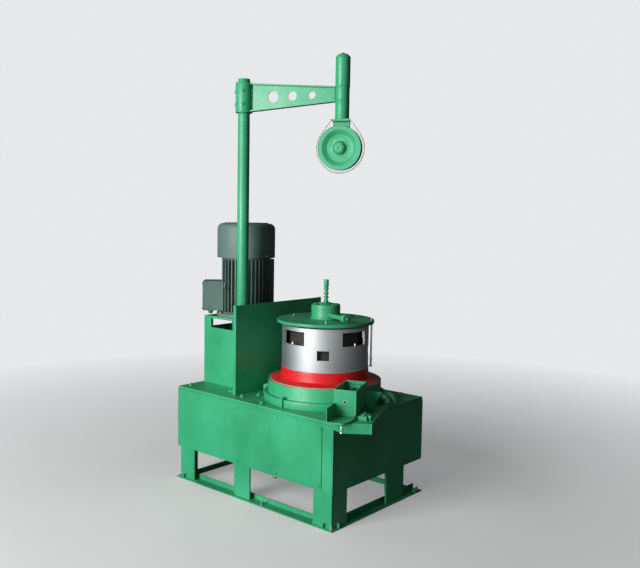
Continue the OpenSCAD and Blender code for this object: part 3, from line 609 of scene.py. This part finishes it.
def drain_plug():
    """plugged drain under the housing's inlet end"""
    plug = Piece()
    top = Vector((-0.440, 0.010, LEG_TOP))
    collar, collar_r, bolt_seat = 0.012, 0.015, 0.010
    plug.rod(top, top - Z * collar, collar_r)
    plug.bolt(top - Z * bolt_seat, -Z, 0.014, washer=False)
    plug.done("drain_plug", bright_steel)


def housing_welds():
    """ground seams up the housing's four corners"""
    bead = Piece()
    thick, pitch = 0.0022, 0.008
    floor_low, floor_high = low("housing_floor"), high("housing_floor")
    for x in (floor_low.x, floor_high.x):
        for y in (floor_low.y, floor_high.y):
            bead.bead((x, y, floor_low.z), (x, y, low("table_plate").z), thick, pitch)
    bead.done("housing_welds", green_plate, soft=0)


def table_bolts():
    """bolts that hold the gearing under the table, and the ones behind the drum"""
    bolts = Piece()
    thread, stands_out = 0.014, 0.006
    for x, y in ((-0.385, 0.369), (-0.284, 0.320), (-0.424, 0.153), (0.385, 0.369),
                 (0.424, 0.153), (0.400, -0.330), (-0.400, 0.862), (0.400, 0.862),
                 (0.400, 0.560)):
        bolts.bolt((x, y, TABLE), Z, thread, thread=stands_out)
    bolts.done("table_bolts", green_cast)


# Drum seat and die side

def seat_straps():
    """steel straps that clamp the seat's flange to the table, with a bolt on each"""
    strap = Piece()
    bolts = Piece()
    thick, half, slack = 0.012, 0.012, 0.001
    flange_r = high("drum_seat").x
    flange_top = TABLE + SEAT_FLANGE_H
    outer = flange_r + 0.014
    ring_r = flange_r - SEAT_STEP
    bolt_r = ring_r + 0.018
    for turn in (179, 119, 59, -1):
        place = turned_to(turn)
        strap.block((ring_r + slack, -half, flange_top), (outer, half, flange_top + thick), place)
        strap.block((flange_r + 0.002, -half, TABLE), (outer, half, flange_top + slack), place)
        bolts.bolt(place @ Vector((bolt_r, 0, flange_top + thick)), Z, 0.009)
    strap.done("seat_straps", green_plate, soft=0.0012)
    bolts.done("seat_strap_bolts", green_cast)


def shelf_welds():
    """beads at the shelf's corners, along its wall and round the tray's cheek"""
    shelf_high, shelf_low = high("guide_shelf").z, low("guide_shelf").z
    wall_y = -0.462
    corner = Vector((-0.488, -0.539, 0))
    tip = Vector((-0.388, -0.677, 0))
    root = Vector((-0.459, wall_y, 0))
    bright = Piece()
    bright.bead(corner + Z * shelf_low, corner + Z * shelf_high, 0.0045)
    bright.done("shelf_corner_weld", pale_steel, soft=0)
    bead = Piece()
    bead.bead(tip + Z * shelf_low, tip + Z * shelf_high, 0.003)
    bead.bead(root + Z * shelf_low, root + Z * shelf_high, 0.004)
    bead.bead((-0.44, wall_y, shelf_low), (0.08, wall_y, shelf_low), 0.004)
    bead.bead(on_wire(-0.716, 0.060, 0.0), on_wire(-0.568, 0.060, 0.0), 0.0035)
    bead.bead(on_wire(-0.567, 0.062, 0.0), on_wire(-0.567, 0.062, 0.074), 0.003)
    bead.bead(on_wire(-0.560, -0.068, 0.004), on_wire(-0.310, -0.068, 0.004), 0.0035)
    bead.done("shelf_welds", green_plate, soft=0)


def box_rim():
    """folded rim round the soap box's mouth, and two bolts on its near wall"""
    rim = Piece()
    inset, thick = 0.003, 0.0036
    top = high("soap_box").z - BOX_FLOOR - 0.0035
    for across in (-BOX_HALF + inset, BOX_HALF - inset):
        rim.rod(on_wire(BOX_START, across, top), on_wire(BOX_END, across, top), thick, sides=14)
    for along in (BOX_START + inset, BOX_END - inset):
        rim.rod(on_wire(along, -BOX_HALF, top), on_wire(along, BOX_HALF, top), thick, sides=14)
    rim.done("soap_box_rim", green_plate)
    bolts = Piece()
    outward = on_wire(0, -1) - on_wire(0, 0)
    for along in (-0.500, -0.360):
        bolts.bolt(on_wire(along, -BOX_HALF, 0.024), outward, 0.008)
    bolts.done("soap_box_bolts", green_cast)


def inlet_bush():
    """ring round the wire's inlet hole"""
    bush = Piece()
    back = (on_wire(-1, 0) - on_wire(0, 0)).normalized()
    bore_r, outer_r, front = 0.0072, 0.0105, 0.0015
    bush.turned(on_wire(BOX_START, 0, 0.083), back,
                [(bore_r, -0.004), (bore_r, front), (outer_r, front), (outer_r, -0.001)], 32)
    bush.done("inlet_bush", bright_steel, soft=0)


def die_nut():
    """pressure nut and clamp screws on the die holder"""
    nut = Piece()
    back = (on_wire(-1, 0) - on_wire(0, 0)).normalized()
    face, die_up, screw_up, screw_across = -0.336, 0.100, 0.030, 0.027
    bore_r, outer_r, height, chamfer = 0.019, 0.026, 0.013, 0.003
    nut.turned(on_wire(face, 0, die_up), back,
               [(bore_r, 0), (outer_r, 0), (outer_r, height - chamfer),
                (outer_r - chamfer, height), (bore_r, height)], 40)
    for across in (-screw_across, screw_across):
        nut.bolt(on_wire(face, across, screw_up), back, 0.009)
    nut.done("die_nut", green_cast)


def clamp_knob():
    """round knob beside the clamp block, and the block's two screws"""
    knob = Piece()
    foot = on_wire(-0.560, -0.148, -0.012)
    neck, neck_r = 0.014, 0.005
    knob.rod(foot, foot + Z * neck, neck_r)
    knob.turned(foot + Z * neck, Z, [(0.0005, 0), (0.008, 0), (0.011, 0.004), (0.011, 0.013),
                                     (0.008, 0.017), (0.0005, 0.018)], 32)
    knob.done("clamp_knob", green_cast)
    screws = Piece()
    for along in (-0.555, -0.512):
        screws.bolt(on_wire(along, -0.107, 0.012), Z, 0.010)
    screws.done("clamp_screws", green_cast)


def wing_lip():
    """folded foot along the wing plate's lower edge"""
    lip = Piece()
    on_floor = turned_to(WIRE_DIR, (0, 0, BOX_FLOOR)) @ Matrix.Translation((0, -DIE_OFF, 0))
    lip.block((BOX_END - 0.006, -BOX_HALF - 0.042, 0.0),
              (BOX_END + 0.012, -BOX_HALF + 0.002, 0.004), on_floor)
    lip.done("wing_lip", green_plate)


def elbow_rings():
    """clamp rings round the water elbows' feet"""
    rings = Piece()
    pipe_r, inner_r, outer_r, height, chamfer = 0.025, 0.0252, 0.033, 0.008, 0.003
    for node in ("water_elbow_1", "water_elbow_2"):
        foot = (middle(node).x, low(node).y + pipe_r, TABLE)
        rings.turned(foot, Z, [(inner_r, 0), (outer_r, 0), (outer_r, height - chamfer),
                               (outer_r - chamfer, height), (inner_r, height)], 48)
    rings.done("elbow_rings", green_cast)


# Drum

def window_pins():
    """round stop pin on the lower edge of each wide window"""
    pins = Piece()
    first, window_drop, window_h = 172.5, 0.024, 0.086
    half_wall, sunk, shank, shank_r = 0.006, 0.004, 0.010, 0.006
    sill = high("drum_shell").z - window_drop - window_h
    for k in range(4):
        foot = toward(first + 90 * k, DRUM_R - half_wall, sill)
        pins.rod(foot - Z * sunk, foot + Z * shank, shank_r)
        pins.turned(foot + Z * 0.009, Z, [(0.0004, 0), (0.0085, 0), (0.0085, 0.004),
                                          (0.006, 0.0075), (0.0004, 0.009)], 24)
    pins.done("window_pins", pale_steel, "drum", soft=0)


def drum_seams():
    """rolled bead above the drum's foot"""
    seams = Piece()
    inner = DRUM_R - 0.002
    foot = low("drum_shell").z + 0.001
    seams.turned((0, 0, foot), Z, [(inner, 0), (DRUM_R + 0.003, 0.0),
                                   (DRUM_R + 0.002, 0.003), (inner, 0.006)], 128)
    seams.done("drum_seams", drum_steel, "drum", soft=0)


def foot_edge():
    """pale turned ring on the edge of the foot's flange, a painted highlight"""
    edge = Piece()
    radius = high("drum_foot").x
    inner, outer, top = radius - 0.0035, radius + 0.0006, 0.0188
    edge.turned((0, 0, low("drum_foot").z), Z,
                [(inner, 0.0155), (outer, 0.0140), (outer, 0.0175),
                 (radius - 0.0010, top), (inner, top)], 128)
    edge.done("foot_edge", painted_edge_highlight, "drum", soft=0)


# Flyer

def hub_rings():
    """turned rings round the hub, and a cap ring with screws on its top"""
    rings = Piece()
    hub_low, hub_high = low("flyer_hub").z, high("flyer_hub").z
    inner, outer = HUB_R - 0.002, HUB_R + 0.0016
    for z in (hub_low + 0.060, hub_low + 0.068):
        rings.turned((0, 0, z), Z, [(inner, 0), (outer, 0.001), (outer, 0.004), (inner, 0.005)], 96)
    rings.turned((0, 0, hub_high), Z, [(0.028, 0), (0.040, 0), (0.040, 0.005),
                                       (0.036, 0.008), (0.028, 0.008)], 64)
    rings.done("hub_rings", green_cast, "flyer", soft=0)
    screws = Piece()
    first, circle_r = 20, 0.066
    for k in range(6):
        screws.screw(toward(first + 60 * k, circle_r, hub_high), Z, 0.010)
    screws.done("hub_screws", green_cast, "flyer")


def lever_point(along, across, up):
    """a point by the lever: along it from the drum's axis, across it and up from its middle"""
    turn = Matrix.Rotation(math.radians(LEVER_DIR), 3, "Z")
    return turn @ Vector((along, across - LEVER_OFF, 0)) + Z * (middle("flyer_lever").z + up)


def lever_bolts():
    """bolts at the lever's root, the roller pin's nut, and the block that holds the roller"""
    bolts = Piece()
    sideways = lever_point(0, -1, 0) - lever_point(0, 0, 0)
    outward = lever_point(1, 0, 0) - lever_point(0, 0, 0)
    half_width, pin_end = 0.013, 0.3026
    for along, up in ((0.103, 0.006), (0.118, -0.005)):
        bolts.bolt(lever_point(along, -half_width, up), sideways, 0.007)
    bolts.bolt(lever_point(pin_end, 0, 0), outward, 0.008, washer=False)
    bolts.done("lever_bolts", bright_steel, "flyer")
    block = Piece()
    inner, outer, half = 0.244, 0.268, 0.019
    block.block((inner, -half, -half), (outer, half, half),
                turned_to(LEVER_DIR, lever_point(0, 0, 0)))
    block.done("roller_block", green_cast, "flyer", soft=0.003)


def disc_fittings():
    """nuts of the hanging rod over and under the disc, three bolts, and the rod's collars"""
    nuts = Piece()
    thread, disc_thick, circle_r = 0.010, 0.020, 0.241
    rod_top = toward(ROD_DIR, ROD_R, DISC_TOP)
    nuts.bolt(rod_top, Z, thread, thread=0.008)
    nuts.bolt(rod_top + Z * -disc_thick, -Z, thread)
    for turn in (101, 221, 341):
        nuts.bolt(toward(turn, circle_r, DISC_TOP), Z, thread, thread=0.005)
    nuts.done("disc_nuts", bright_steel, "flyer")
    collars = Piece()
    inner, outer, height = 0.0062, 0.0105, 0.008
    for up in (0.006, 0.052):
        centre = toward(ROD_DIR, ROD_R, low("flyer_rod").z + up)
        collars.turned(centre - Z * (height / 2), Z,
                       [(inner, 0), (outer, 0), (outer, height), (inner, height)], 24)
    collars.done("rod_collars", pale_steel, "flyer")


# Post, arm and overhead pulley

def post_fixings():
    """foot bolts and the weld round the post, and the collar's set screws and end beads"""
    bolts = Piece()
    inset, collar_r, pipe_bead_r, collar_bead_r = 0.011, 0.0535, 0.0385, 0.052
    foot_low, foot_high = low("post_foot"), high("post_foot")
    for x in (foot_low.x + inset, foot_high.x - inset):
        for y in (foot_low.y + inset, foot_high.y - inset):
            bolts.bolt((x, y, foot_high.z), Z, 0.009)
    for z in (2.600, 2.520):
        for turn in (-144, 120):
            bolts.screw(POST + toward(turn, collar_r, z), toward(turn), 0.012)
    bolts.done("post_bolts", green_cast)
    bead = Piece()
    bead.bead_round((POST.x, POST.y, foot_high.z), Z, pipe_bead_r, 0.004)
    for z in (high("arm_collar").z, low("arm_collar").z):
        bead.bead_round((POST.x, POST.y, z), Z, collar_bead_r, 0.003)
    bead.done("post_welds", green_plate, soft=0)


def arm_welds():
    """beads where the beam meets the collar and the sleeve, and round the sleeve's top"""
    bead = Piece()
    half_web, thick = 0.007, 0.004
    arm = (STEM - POST).normalized()
    side = Z.cross(arm)
    beam_in, sleeve_in = 0.010, 0.008
    root = POST + arm * 0.055
    tip = STEM - arm * 0.045
    beam = low("arm_beam").z + beam_in, high("arm_beam").z - beam_in
    sleeve = low("arm_sleeve").z + sleeve_in, high("arm_sleeve").z - sleeve_in
    for across in (-half_web, half_web):
        for end, (lower, upper) in ((root, beam), (tip, sleeve)):
            place = end + side * across
            bead.bead(place + Z * lower, place + Z * upper, thick)
    bead.bead_round((STEM.x, STEM.y, high("arm_sleeve").z), Z, 0.0445, 0.003)
    bead.done("arm_welds", green_plate, soft=0)


def spring_cap():
    """seam and grease nipple of the spring housing"""
    cap = Piece()
    top = high("spring_housing").z
    radius = (high("spring_housing").x - low("spring_housing").x) / 2
    inner, outer = radius - 0.001, radius + 0.0014
    cap.turned((STEM.x, STEM.y, top - 0.026), Z,
               [(inner, 0), (outer, 0.001), (outer, 0.004), (inner, 0.005)], 64)
    cap.rod((STEM.x, STEM.y, top - 0.001), (STEM.x, STEM.y, top + 0.006), 0.007)
    cap.rod((STEM.x, STEM.y, top + 0.005), (STEM.x, STEM.y, top + 0.011), 0.004, 0.002)
    cap.done("spring_cap", green_cast)


def wheel_fittings():
    """beads round the wheel's rim and at the foot of its boss, which turn with it"""
    trim = Piece()
    rim_off, rim_in, rim_thick = 0.0215, 0.0025, 0.002
    boss_off, boss_r, boss_thick = 0.0045, 0.0445, 0.0018
    for side in (1, -1):
        face = WHEEL_AXIS * side
        trim.ring(WHEEL + face * rim_off, WHEEL_AXIS, WHEEL_R - rim_in, rim_thick, 96)
        trim.ring(WHEEL + face * boss_off, WHEEL_AXIS, boss_r, boss_thick, 64)
    trim.done("wheel_trim", green_cast, "pulley", soft=0)


def axle_fittings():
    """two small screws in the axle's cap, and the bracket's bolts"""
    bolts = Piece()
    cap_off, screw_r = 0.0343, 0.0145
    bolt_along, bolt_across = 0.032, 0.028
    face = WHEEL - WHEEL_AXIS * cap_off
    for turn in (35, 215):
        outward = Matrix.Rotation(math.radians(turn), 3, WHEEL_AXIS) @ Z
        bolts.screw(face + outward * screw_r, -WHEEL_AXIS, 0.005)
    top = Z * low("pulley_stem").z
    for along in (-bolt_along, bolt_along):
        beside = STEM + toward(ARM_TURN) * along - WHEEL_AXIS * bolt_across
        bolts.bolt(beside + top, Z, 0.008)
    bolts.done("bracket_bolts", green_cast, "pulley_swivel")


# Motor

def cowl_grille():
    """air inlet on top of the fan cowl: a near-black disc painted as the shade inside it, wire
    rings and spokes, and the cowl's screws
    """
    centre = MOTOR + Z * high("fan_cowl").z
    hub_r, well_r = 0.030, 0.150
    # thin near-black disc that paints the shade inside the air inlet
    inlet_shade = Piece()
    inlet_shade.turned(centre, Z, [(hub_r, -0.002), (well_r, -0.002), (well_r, 0.0005),
                            (hub_r, 0.0005)], 64)
    inlet_shade.done("grille_inlet_shade", painted_shade_black, soft=0)
    wires = Piece()
    first_r, pitch, wire_r = 0.034, 0.019, 0.0024
    spoke_up, spoke_end, spoke_r = 0.003, 0.152, 0.0026
    for k in range(7):
        wires.ring(centre + Z * 0.0025, Z, first_r + pitch * k, wire_r, 72, 8)
    for k in range(8):
        turn = 45 * k + 10
        wires.rod(centre + toward(turn, hub_r, spoke_up),
                  centre + toward(turn, spoke_end, spoke_up), spoke_r, sides=8)
    wires.turned(centre, Z, [(0.0005, 0), (0.031, 0), (0.031, 0.004),
                             (0.026, 0.006), (0.0005, 0.006)], 48)
    wires.done("grille_wires", motor_paint, soft=0)
    screws = Piece()
    radius = (high("fan_cowl").x - low("fan_cowl").x) / 2 - 0.0005
    foot = MOTOR + Z * (low("fan_cowl").z + 0.016)
    for k in range(6):
        out = toward(30 + 60 * k)
        screws.screw(foot + out * radius, out, 0.008)
    screws.done("cowl_screws", bright_steel)


def motor_fittings():
    """flange bolts and two lifting eyes"""
    bolts = Piece()
    circle_r = 0.186
    flange = MOTOR + Z * high("motor_flange").z
    for k in range(8):
        bolts.bolt(flange + toward(22.5 + 45 * k, circle_r), Z, 0.013)
    bolts.done("motor_bolts", bright_steel)
    eyes = Piece()
    eye_z, root_r, shank, eye_off = 1.330, 0.160, 0.022, 0.040
    eye_r, wire_r = 0.019, 0.0065
    for turn in (185, 5):
        out = toward(turn)
        root = MOTOR + Z * eye_z + out * root_r
        eyes.rod(root, root + out * shank, 0.013, 0.010)
        eyes.ring(root + out * eye_off, Z.cross(out), eye_r, wire_r, 40, 12)
    eyes.done("lifting_eyes", motor_paint, soft=0)


def terminal_fittings():
    """lid with its seam and screws, and two blind glands under the box"""
    box_mid = middle("terminal_box")
    away = (Vector((box_mid.x, box_mid.y, 0)) - MOTOR).normalized()
    place = turned_to(math.degrees(math.atan2(away.y, away.x)), MOTOR)
    box_low, box_high = low("terminal_box").z, high("terminal_box").z
    seam, lid_face, screw_in = 0.003, TERMINAL_REACH + 0.009, 0.016
    lid = Piece()
    lid.block((TERMINAL_REACH - 0.001, -TERMINAL_HALF + seam, box_low + seam),
              (lid_face, TERMINAL_HALF - seam, box_high - seam), place)
    lid.done("terminal_lid", motor_paint, soft=0.003)
    screws = Piece()
    for across in (-TERMINAL_HALF + screw_in, TERMINAL_HALF - screw_in):
        for z in (box_low + screw_in, box_high - screw_in):
            screws.screw(place @ Vector((lid_face, across, z)), away, 0.008)
    screws.done("terminal_screws", bright_steel)
    glands = Piece()
    gland_in, gland_across, nut, nut_r = 0.045, 0.035, 0.008, 0.019
    for across in (-gland_across, gland_across):
        mouth = place @ Vector((TERMINAL_REACH - gland_in, across, box_low))
        glands.rod(mouth + Z * 0.001, mouth - Z * nut, nut_r, sides=6)
        glands.turned(mouth - Z * nut, -Z, [(0.0005, 0), (0.015, 0), (0.015, 0.010),
                                            (0.011, 0.016), (0.0005, 0.016)], 32)
    glands.done("blind_glands", motor_paint)


def stool_fittings():
    """weld round the stool's foot, and its corner seams"""
    bead = Piece()
    seam, seam_pitch, foot_thick = 0.002, 0.008, 0.0045
    stool_low, stool_high = low("motor_stool"), high("motor_stool")
    foot = stool_low.z
    corners = [(stool_low.x, stool_low.y), (stool_high.x, stool_low.y),
               (stool_high.x, stool_high.y), (stool_low.x, stool_high.y)]
    for (x, y), (next_x, next_y) in zip(corners, corners[1:] + corners[:1]):
        bead.bead((x, y, foot), (x, y, stool_high.z), seam, seam_pitch)
        bead.bead((x, y, foot), (next_x, next_y, foot), foot_thick)
    bead.done("stool_welds", green_plate, soft=0)


def guard_fixings():
    """angle feet behind the guard plate with their bolts"""
    feet = Piece()
    bolts = Piece()
    plate, thick, half, height, depth, bolt_up = 0.006, 0.006, 0.025, 0.050, 0.034, 0.032
    front = low("guard_plate").y
    back = front + plate
    for x in (-0.120, 0.080, 0.300):
        feet.block((x - half, back, TABLE), (x + half, back + thick, TABLE + height))
        feet.block((x - half, back, TABLE), (x + half, back + depth, TABLE + thick))
        bolts.bolt((x, back + thick, TABLE + bolt_up), Y, 0.009)
        bolts.bolt((x, back + 0.021, TABLE + thick), Z, 0.009)
        bolts.screw((x, front, TABLE + bolt_up), -Y, 0.007)
    feet.done("guard_feet", green_plate, soft=0.001)
    bolts.done("guard_bolts", bright_steel)


for make in (base_welds, anchor_bolts, cover_screws, drain_plug, housing_welds, table_bolts,
             seat_straps, shelf_welds, box_rim, inlet_bush, die_nut, clamp_knob, wing_lip,
             elbow_rings, window_pins, drum_seams, foot_edge, hub_rings, lever_bolts, disc_fittings,
             post_fixings, arm_welds, spring_cap, wheel_fittings, axle_fittings,
             cowl_grille, motor_fittings, terminal_fittings, stool_fittings, guard_fixings):
    make()


# Floor, backdrop and light

BACKDROP = (0.80, 0.81, 0.82, 1)
OBJECT_MIDDLE = Vector((-0.05, 0.12, 1.1))

# degrees round the drum's axis of the large lamp and of the brightest surroundings
LIGHT_SIDE = 174
BRIGHT_SIDE = 194
SKY_LIGHT = 0.13
SKY_MIRRORED = 1.35

# greys from the dark side to the bright one, as (position, grey)
SURROUND_TONES = ((0.1, 0.05), (0.45, 0.15), (0.6, 0.3), (0.74, 0.5), (0.9, 0.8), (1.0, 1.0))


def seen_by(tree, *rays):
    """1 for what these kinds of ray look at, named as the Light Path outputs are"""
    path = tree.nodes.new("ShaderNodeLightPath")
    share = path.outputs[f"Is {rays[0]} Ray"]
    for other in rays[1:]:
        either = tree.nodes.new("ShaderNodeMath")
        either.operation = "MAXIMUM"
        tree.links.new(share, either.inputs[0])
        tree.links.new(path.outputs[f"Is {other} Ray"], either.inputs[1])
        share = either.outputs["Value"]
    return share


def surround_tone(tree, direction):
    """grey of the surroundings in a direction: bright on the light's side, dark on the other"""
    unit = tree.nodes.new("ShaderNodeVectorMath")
    unit.operation = "NORMALIZE"
    tree.links.new(direction, unit.inputs[0])
    turn = tree.nodes.new("ShaderNodeVectorMath")
    turn.operation = "DOT_PRODUCT"
    turn.inputs[1].default_value = toward(BRIGHT_SIDE)
    tree.links.new(unit.outputs["Vector"], turn.inputs[0])
    share = tree.nodes.new("ShaderNodeMapRange")
    share.inputs["From Min"].default_value = -1
    tree.links.new(turn.outputs["Value"], share.inputs["Value"])
    tone = tree.nodes.new("ShaderNodeValToRGB")
    set_stops(tone, SURROUND_TONES)
    tree.links.new(share.outputs["Result"], tone.inputs["Fac"])
    return tone.outputs["Color"]


def pale_floor():
    """chalky floor that keeps the machine's shadow and runs out into the backdrop"""
    half_size, fade_length = 60, 9.0
    mesh = bmesh.new()
    bmesh.ops.create_grid(mesh, x_segments=1, y_segments=1, size=half_size)
    data = bpy.data.meshes.new("floor")
    mesh.to_mesh(data)
    mesh.free()
    floor = bpy.data.objects.new("floor", data)
    scene.collection.objects.link(floor)
    chalk = Finish("floor_chalk")
    grain = chalk.ramp(chalk.noise(0.8, 3), (0.3, 0.80), (0.7, 0.86))
    chalk.colour(chalk.blend(seen_by(chalk.tree, "Camera"), (0.12, 0.12, 0.12, 1), grain))
    chalk.shader.inputs["Roughness"].default_value = 0.85
    far = chalk.node("ShaderNodeVectorMath", operation="LENGTH")
    chalk.link(chalk.place, far.inputs[0])
    share = chalk.maths("DIVIDE", far.outputs["Value"], fade_length)
    away = chalk.ramp(share, (0.16, 0.3), (0.6, 1.0))
    glow = chalk.node("ShaderNodeEmission")
    reflected = surround_tone(chalk.tree, chalk.place)
    seen = chalk.blend(seen_by(chalk.tree, "Camera"), reflected, BACKDROP)
    chalk.link(seen, glow.inputs["Color"])
    mix = chalk.node("ShaderNodeMixShader")
    shown = seen_by(chalk.tree, "Camera", "Glossy", "Transmission")
    chalk.link(chalk.maths("MULTIPLY", away, shown), mix.inputs["Fac"])
    chalk.link(chalk.shader.outputs["BSDF"], mix.inputs[1])
    chalk.link(glow.outputs["Emission"], mix.inputs[2])
    chalk.link(mix.outputs["Shader"], chalk.tree.nodes["Material Output"].inputs["Surface"])
    data.materials.append(chalk.material)


def soft_sky():
    """plain backdrop for the camera, and soft light that is stronger from the bright side"""
    world = bpy.data.worlds.new("sky")
    scene.world = world
    world.use_nodes = True
    tree = world.node_tree
    place = tree.nodes.new("ShaderNodeTexCoord").outputs["Generated"]
    light = tree.nodes["Background"]
    light.inputs["Strength"].default_value = SKY_LIGHT
    tree.links.new(surround_tone(tree, place), light.inputs["Color"])
    mirrored = tree.nodes.new("ShaderNodeBackground")
    mirrored.inputs["Strength"].default_value = SKY_MIRRORED
    tree.links.new(surround_tone(tree, place), mirrored.inputs["Color"])
    shown = tree.nodes.new("ShaderNodeBackground")
    shown.inputs["Color"].default_value = BACKDROP
    below = light.outputs["Background"]
    for rays, layer in ((("Glossy", "Transmission"), mirrored), (("Camera",), shown)):
        mix = tree.nodes.new("ShaderNodeMixShader")
        tree.links.new(seen_by(tree, *rays), mix.inputs["Fac"])
        tree.links.new(below, mix.inputs[1])
        tree.links.new(layer.outputs["Background"], mix.inputs[2])
        below = mix.outputs["Shader"]
    tree.links.new(below, tree.nodes["World Output"].inputs["Surface"])


def lamp(name, place, size, watts):
    """flat lamp that faces the middle of the machine"""
    data = bpy.data.lights.new(name, "AREA")
    data.shape = "RECTANGLE"
    data.size, data.size_y = size
    data.energy = watts
    light = bpy.data.objects.new(name, data)
    scene.collection.objects.link(light)
    light.location = place
    light.rotation_mode = "QUATERNION"
    light.rotation_quaternion = (OBJECT_MIDDLE - place).to_track_quat("-Z", "Y")


pale_floor()
soft_sky()
lamp("side_light", toward(LIGHT_SIDE, 7.5, 2.8), size=(4.2, 5.2), watts=730)
lamp("top_light", toward(120, 2.5, 5.5), size=(3, 3), watts=15)
scene.view_settings.view_transform = "Standard"
